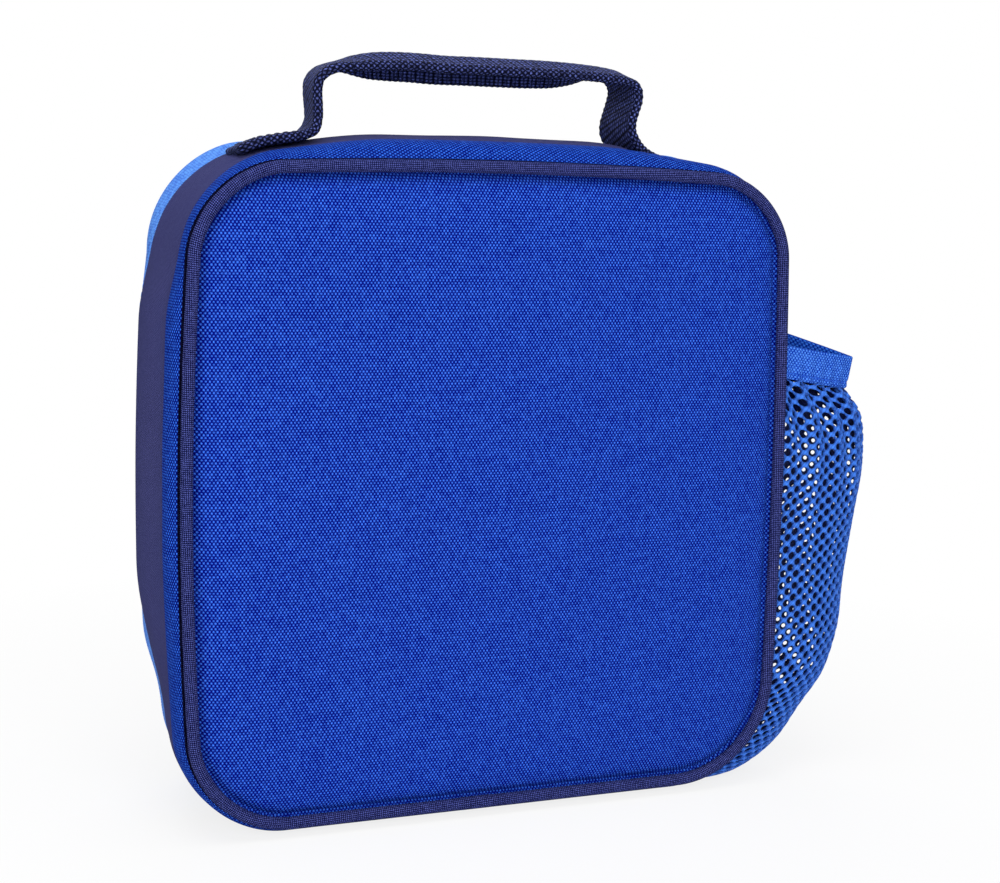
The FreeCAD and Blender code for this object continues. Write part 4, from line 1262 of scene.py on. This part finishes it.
def net_point(pocket, a, b):
    """A place on the net, a across and b down, with its gathers and its slack."""
    place = pocket.at(b, a)
    low, high = pocket.width(b)
    free = min(max(min(a - low, high - a) / GATHER_EDGE, 0), 1)
    gather = GATHER * free * math.exp(-b / GATHER_FADE) * math.sin(a * 2 * math.pi / GATHER_PITCH)
    sag = SAG * noise.noise(Vector((a / SAG_SIZE, b / SAG_SIZE, SAG_SEED)))
    return place + (gather * GATHER_OUT + sag, (gather + sag) * (-1 if a < 0 else 1), 0)


def make_net(pocket):
    """The net: a lattice of meshes, each a ring of yarn round an open hole, gathered under the elastic."""
    half_a, half_b = MESH_WIDE / 2, MESH_TALL / 2
    rim = [(half_a, 0), (half_a / 2, half_b / 2), (0, half_b), (-half_a / 2, half_b / 2)]
    rim += [(-x, -y) for x, y in rim]
    turns = [k * math.pi / 4 for k in range(len(rim))]
    points, index, faces, uvs = [], {}, [], []

    def vertex(a, b):
        """The number of the point at a place, which is made once."""
        key = (round(a, 2), round(b, 2))
        if key not in index:
            index[key] = len(points)
            points.append(net_point(pocket, a, b))
        return index[key]

    for row in range(int(pocket.length / half_b)):
        b = (row + 0.5) * half_b
        low, high = pocket.width(b)
        for column in range(int(low / MESH_WIDE) - 1, int(high / MESH_WIDE) + 2):
            a = (column + 0.5 * (row % 2)) * MESH_WIDE
            if a + half_a * EDGE_KEEP < low or a - half_a * EDGE_KEEP > high:
                continue
            varied = 1 + VARIES * noise.noise(Vector((a / VARIES_SIZE, b / VARIES_SIZE, VARIES_SEED)))
            size = (1.0 if a < 0 else FAR_HOLES) * varied / 2
            hole = [(HOLE_WIDE * size * math.cos(t), HOLE_TALL * size * math.sin(t)) for t in turns]
            outer, inner = ([vertex(a + x, b + y) for x, y in loop] for loop in (rim, hole))
            for k in range(len(rim)):
                n = (k + 1) % len(rim)
                faces.append([outer[n], outer[k], inner[k], inner[n]])
                uvs += [(a + x, b + y) for x, y in (rim[n], rim[k], hole[k], hole[n])]
    net = new_mesh("pocket_net_mesh", points, faces, uvs)
    close_up(net)
    thicken = net.modifiers.new("yarn", "SOLIDIFY")
    thicken.thickness = NET_THICK * MM
    thicken.offset = 0
    # The faces that look into the pocket take the darker copy of the net: painted shade inside the pocket
    thicken.material_offset = SHADED_INSIDE_SLOT
    soften = net.modifiers.new("round", "SUBSURF")
    soften.levels = soften.render_levels = 1
    dress(net, NET, "net", "box", "pocket_net")
    net.data.materials.append(NET_INSIDE_SHADE)


def close_up(piece):
    """Joins points that coincide where the net ends at the gusset, and drops faces without area."""
    work = bmesh.new()
    work.from_mesh(piece.data)
    bmesh.ops.remove_doubles(work, verts=work.verts, dist=WELD * MM)
    bmesh.ops.dissolve_degenerate(work, edges=work.edges, dist=SLIVER * MM)
    work.to_mesh(piece.data)
    work.free()


def make_elastic(pocket):
    """The elastic round the pocket's mouth, folded sharply at its outer end, with a row of stitches."""
    section = pocket.section(0.0)
    lengths = along_lengths(section)
    places = np.linspace(0, lengths[-1], ELASTIC_STEPS)
    base = at_lengths(lengths, section, places)
    tangent = unit(np.gradient(base, axis=0) * (1, 1, 0))
    out = np.column_stack([tangent[:, 1], -tangent[:, 0], np.zeros(ELASTIC_STEPS)])
    reach = (base[:, 0] - base[0, 0]) / np.ptp(base[:, 0])
    # Heights of the points up the band, closer together at its edges
    heights = np.concatenate([
        [0, 0.25, 0.8],
        np.linspace(1.6, ELASTIC_TALL - 1.2, 16),
        ELASTIC_TALL - np.array([0.6, 0.2, 0]),
    ])
    from_edge = np.minimum(np.minimum(heights, ELASTIC_TALL - heights) / ELASTIC_ROUND, 1)
    thick = ELASTIC_THICK / 2 * np.sqrt(np.maximum(ELASTIC_LEAST, 1 - (1 - from_edge) ** 2))
    thick -= HEM_GROOVE * np.exp(-((heights - HEM) / HEM_WIDE) ** 2)
    share = heights / ELASTIC_TALL
    rings = []
    for i, place in enumerate(places):
        wave = ELASTIC_RIPPLE * math.sin(place * 2 * math.pi / ELASTIC_PITCH) * (1 - share)
        middle = base[i] + np.column_stack([ELASTIC_LEAN * share * reach[i], np.zeros(len(share)), heights])
        outer, inner = (middle + out[i] * (wave + way * thick)[:, None] for way in (1, -1))
        rings.append(np.vstack([outer, inner[::-1]]))
    around = np.concatenate([heights, heights[::-1], [0]])
    band = sweep("pocket_elastic_band", rings, around=around, along=places, flip=True)
    dress(band, ELASTIC, "elastic", "box", "pocket_elastic")
    # The band's inner faces take the darker copy of the elastic, painted shade inside the mouth
    band.data.materials.append(ELASTIC_INSIDE_SHADE)
    rows = len(heights)
    face_slots = np.zeros((ELASTIC_STEPS - 1, 2 * rows), int)
    face_slots[:, rows:-1] = SHADED_INSIDE_SLOT
    end_caps = [0, 0]
    band.data.polygons.foreach_set("material_index", np.append(face_slots.ravel(), end_caps))
    hem = np.array(rings)[:, np.argmin(np.abs(heights - HEM))] + out * HEM_LIFT
    stitches = []
    for k in range(int(places[-1] / HEM_PITCH) - 1):
        spots = (k + 0.5) * HEM_PITCH + np.linspace(0, HEM_LONG, STITCH_POINTS)
        stitches.append(tube_rings(at_lengths(places, hem, spots), HEM_RADIUS, STITCH_SIDES))
    dress(many_tubes("elastic_stitching", stitches), ELASTIC_THREAD, "elastic", "box")


# Stage

WHITE = (1, 1, 1, 1)

# The floor: half its size and how far it lies below the ground, in metres, its colour, and how white it
# looks near the object and further out
FLOOR_HALF, FLOOR_DROP, FLOOR_GREY = 3.0, 0.0004, (0.9, 0.9, 0.9, 1)
FLOOR_FADE = {"From Min": 0.1, "From Max": 0.4, "To Min": 0.82, "To Max": 1.0}


def seen_rays(tree):
    """1 for rays from the camera and for what metal and glass show, 0 for rays that light the object."""
    camera, glossy, through = (
        tree.add("LightPath", f"Is {kind} Ray", {}) for kind in ("Camera", "Glossy", "Transmission")
    )
    return camera.math("MAXIMUM", glossy).math("MAXIMUM", through)


def mixed(tree, kind, share, lit, seen):
    """Ends a tree with one shader for what lights the object and another for what is seen."""
    mix = tree.add("MixShader", 0, {0: share, 1: lit, 2: seen})
    tree.put(tree.nodes.new(f"ShaderNodeOutput{kind}").inputs[0], mix)


def make_stage():
    """A pale floor that keeps the shadow, and a white surround."""
    square = [(-1, -1, 0), (1, -1, 0), (1, 1, 0), (-1, 1, 0)]
    mesh = bpy.data.meshes.new("floor")
    mesh.from_pydata([tuple(FLOOR_HALF * value for value in point) for point in square], [], [(0, 1, 2, 3)])
    floor = linked("floor", mesh)
    floor.location.z = -FLOOR_DROP
    material = bpy.data.materials.new("floor")
    tree = Tree(material)
    tree.nodes.clear()
    place = tree.add("NewGeometry", "Position", {})
    distance = tree.add("VectorMath", "Value", {0: place}, operation="LENGTH")
    fade = tree.add("MapRange", 0, {"Value": distance, **FLOOR_FADE})
    plain = tree.add("BsdfDiffuse", 0, {"Color": FLOOR_GREY})
    glow = tree.add("Emission", 0, {"Color": WHITE})
    mixed(tree, "Material", fade * seen_rays(tree), plain, glow)
    mesh.materials.append(material)


def make_world():
    """A soft bluish fill that is seen as white."""
    world = bpy.data.worlds.new("studio")
    bpy.context.scene.world = world
    tree = Tree(world)
    tree.nodes.clear()
    fill = tree.add("Background", 0, {"Color": (0.93, 0.96, 1.0, 1), "Strength": 0.24})
    white = tree.add("Background", 0, {"Color": WHITE, "Strength": 1.0})
    mixed(tree, "World", seen_rays(tree), fill, white)


def make_lights():
    """Large lamps in metres and watts: place, size and power, all aimed at the object's middle."""
    aim = Vector((0, 0, 0.12))
    for name, place, size, power in (
        ("key", (-0.3, -1.2, 0.6), (1.1, 0.8), 13.0),
        ("fill", (-1.1, -0.6, 0.5), (0.9, 0.9), 1.0),
        ("top", (-0.2, -0.3, 1.4), (0.9, 0.9), 10.0),
        ("rim", (0.3, 0.9, 0.8), (0.8, 0.6), 3.0),
    ):
        light = bpy.data.lights.new(name, "AREA")
        light.shape = "RECTANGLE"
        light.size, light.size_y = size
        light.energy = power
        lamp = linked(name, light)
        lamp.location = place
        lamp.rotation_euler = (aim - Vector(place)).to_track_quat("-Z", "Y").to_euler()


def make_camera():
    """The photograph's camera: where it stands, how it is turned and its focal length."""
    azimuth, elevation, roll = (math.radians(angle) for angle in (-22.30, 7.47, 1.24))
    distance, target = 611.0, np.array([-2.04, REAR_Y, 130.44])
    focal_pixels, width_pixels, sensor = 1802.0, 1000.0, 36.0
    back = np.array([
        math.sin(azimuth) * math.cos(elevation),
        -math.cos(azimuth) * math.cos(elevation),
        math.sin(elevation),
    ])
    level = unit(np.cross(-back, [0, 0, 1]))
    upright = np.cross(level, -back)
    matrix = np.eye(4)
    matrix[:3, 0] = math.cos(roll) * level + math.sin(roll) * upright
    matrix[:3, 1] = math.cos(roll) * upright - math.sin(roll) * level
    matrix[:3, 2] = back
    matrix[:3, 3] = (target + back * distance) * MM
    data = bpy.data.cameras.new("camera")
    data.sensor_fit = "HORIZONTAL"
    data.sensor_width = sensor
    data.lens = sensor * focal_pixels / width_pixels
    data.clip_start = 0.01
    camera = linked("camera", data)
    camera.matrix_world = Matrix(matrix.tolist())
    bpy.context.scene.camera = camera


make_panel("back_panel_pad", "back_panel_lining", "box", ["back_panel", "back_foam"], ["back_lining"],
           depth=0.0, crown=4.4, way=-1, seed=1)
make_panel("front_panel_pad", "front_panel_lining", "lid", ["front_panel", "front_foam"], ["front_lining"],
           depth=DEPTH, crown=3.4, way=1, seed=4)
make_piping("back_piping_cord", 0.0, "back_piping", "box")
make_piping("front_piping_cord", DEPTH, "front_piping", "lid")
make_gusset()
make_bottom()
make_zip()
for hand, way in (("left", -1), ("right", 1)):
    make_slider(hand, way)
make_strap()
pocket = Pocket()
make_net(pocket)
make_elastic(pocket)
make_stage()
make_world()
make_lights()
make_camera()

bpy.context.scene.view_settings.view_transform = "Standard"
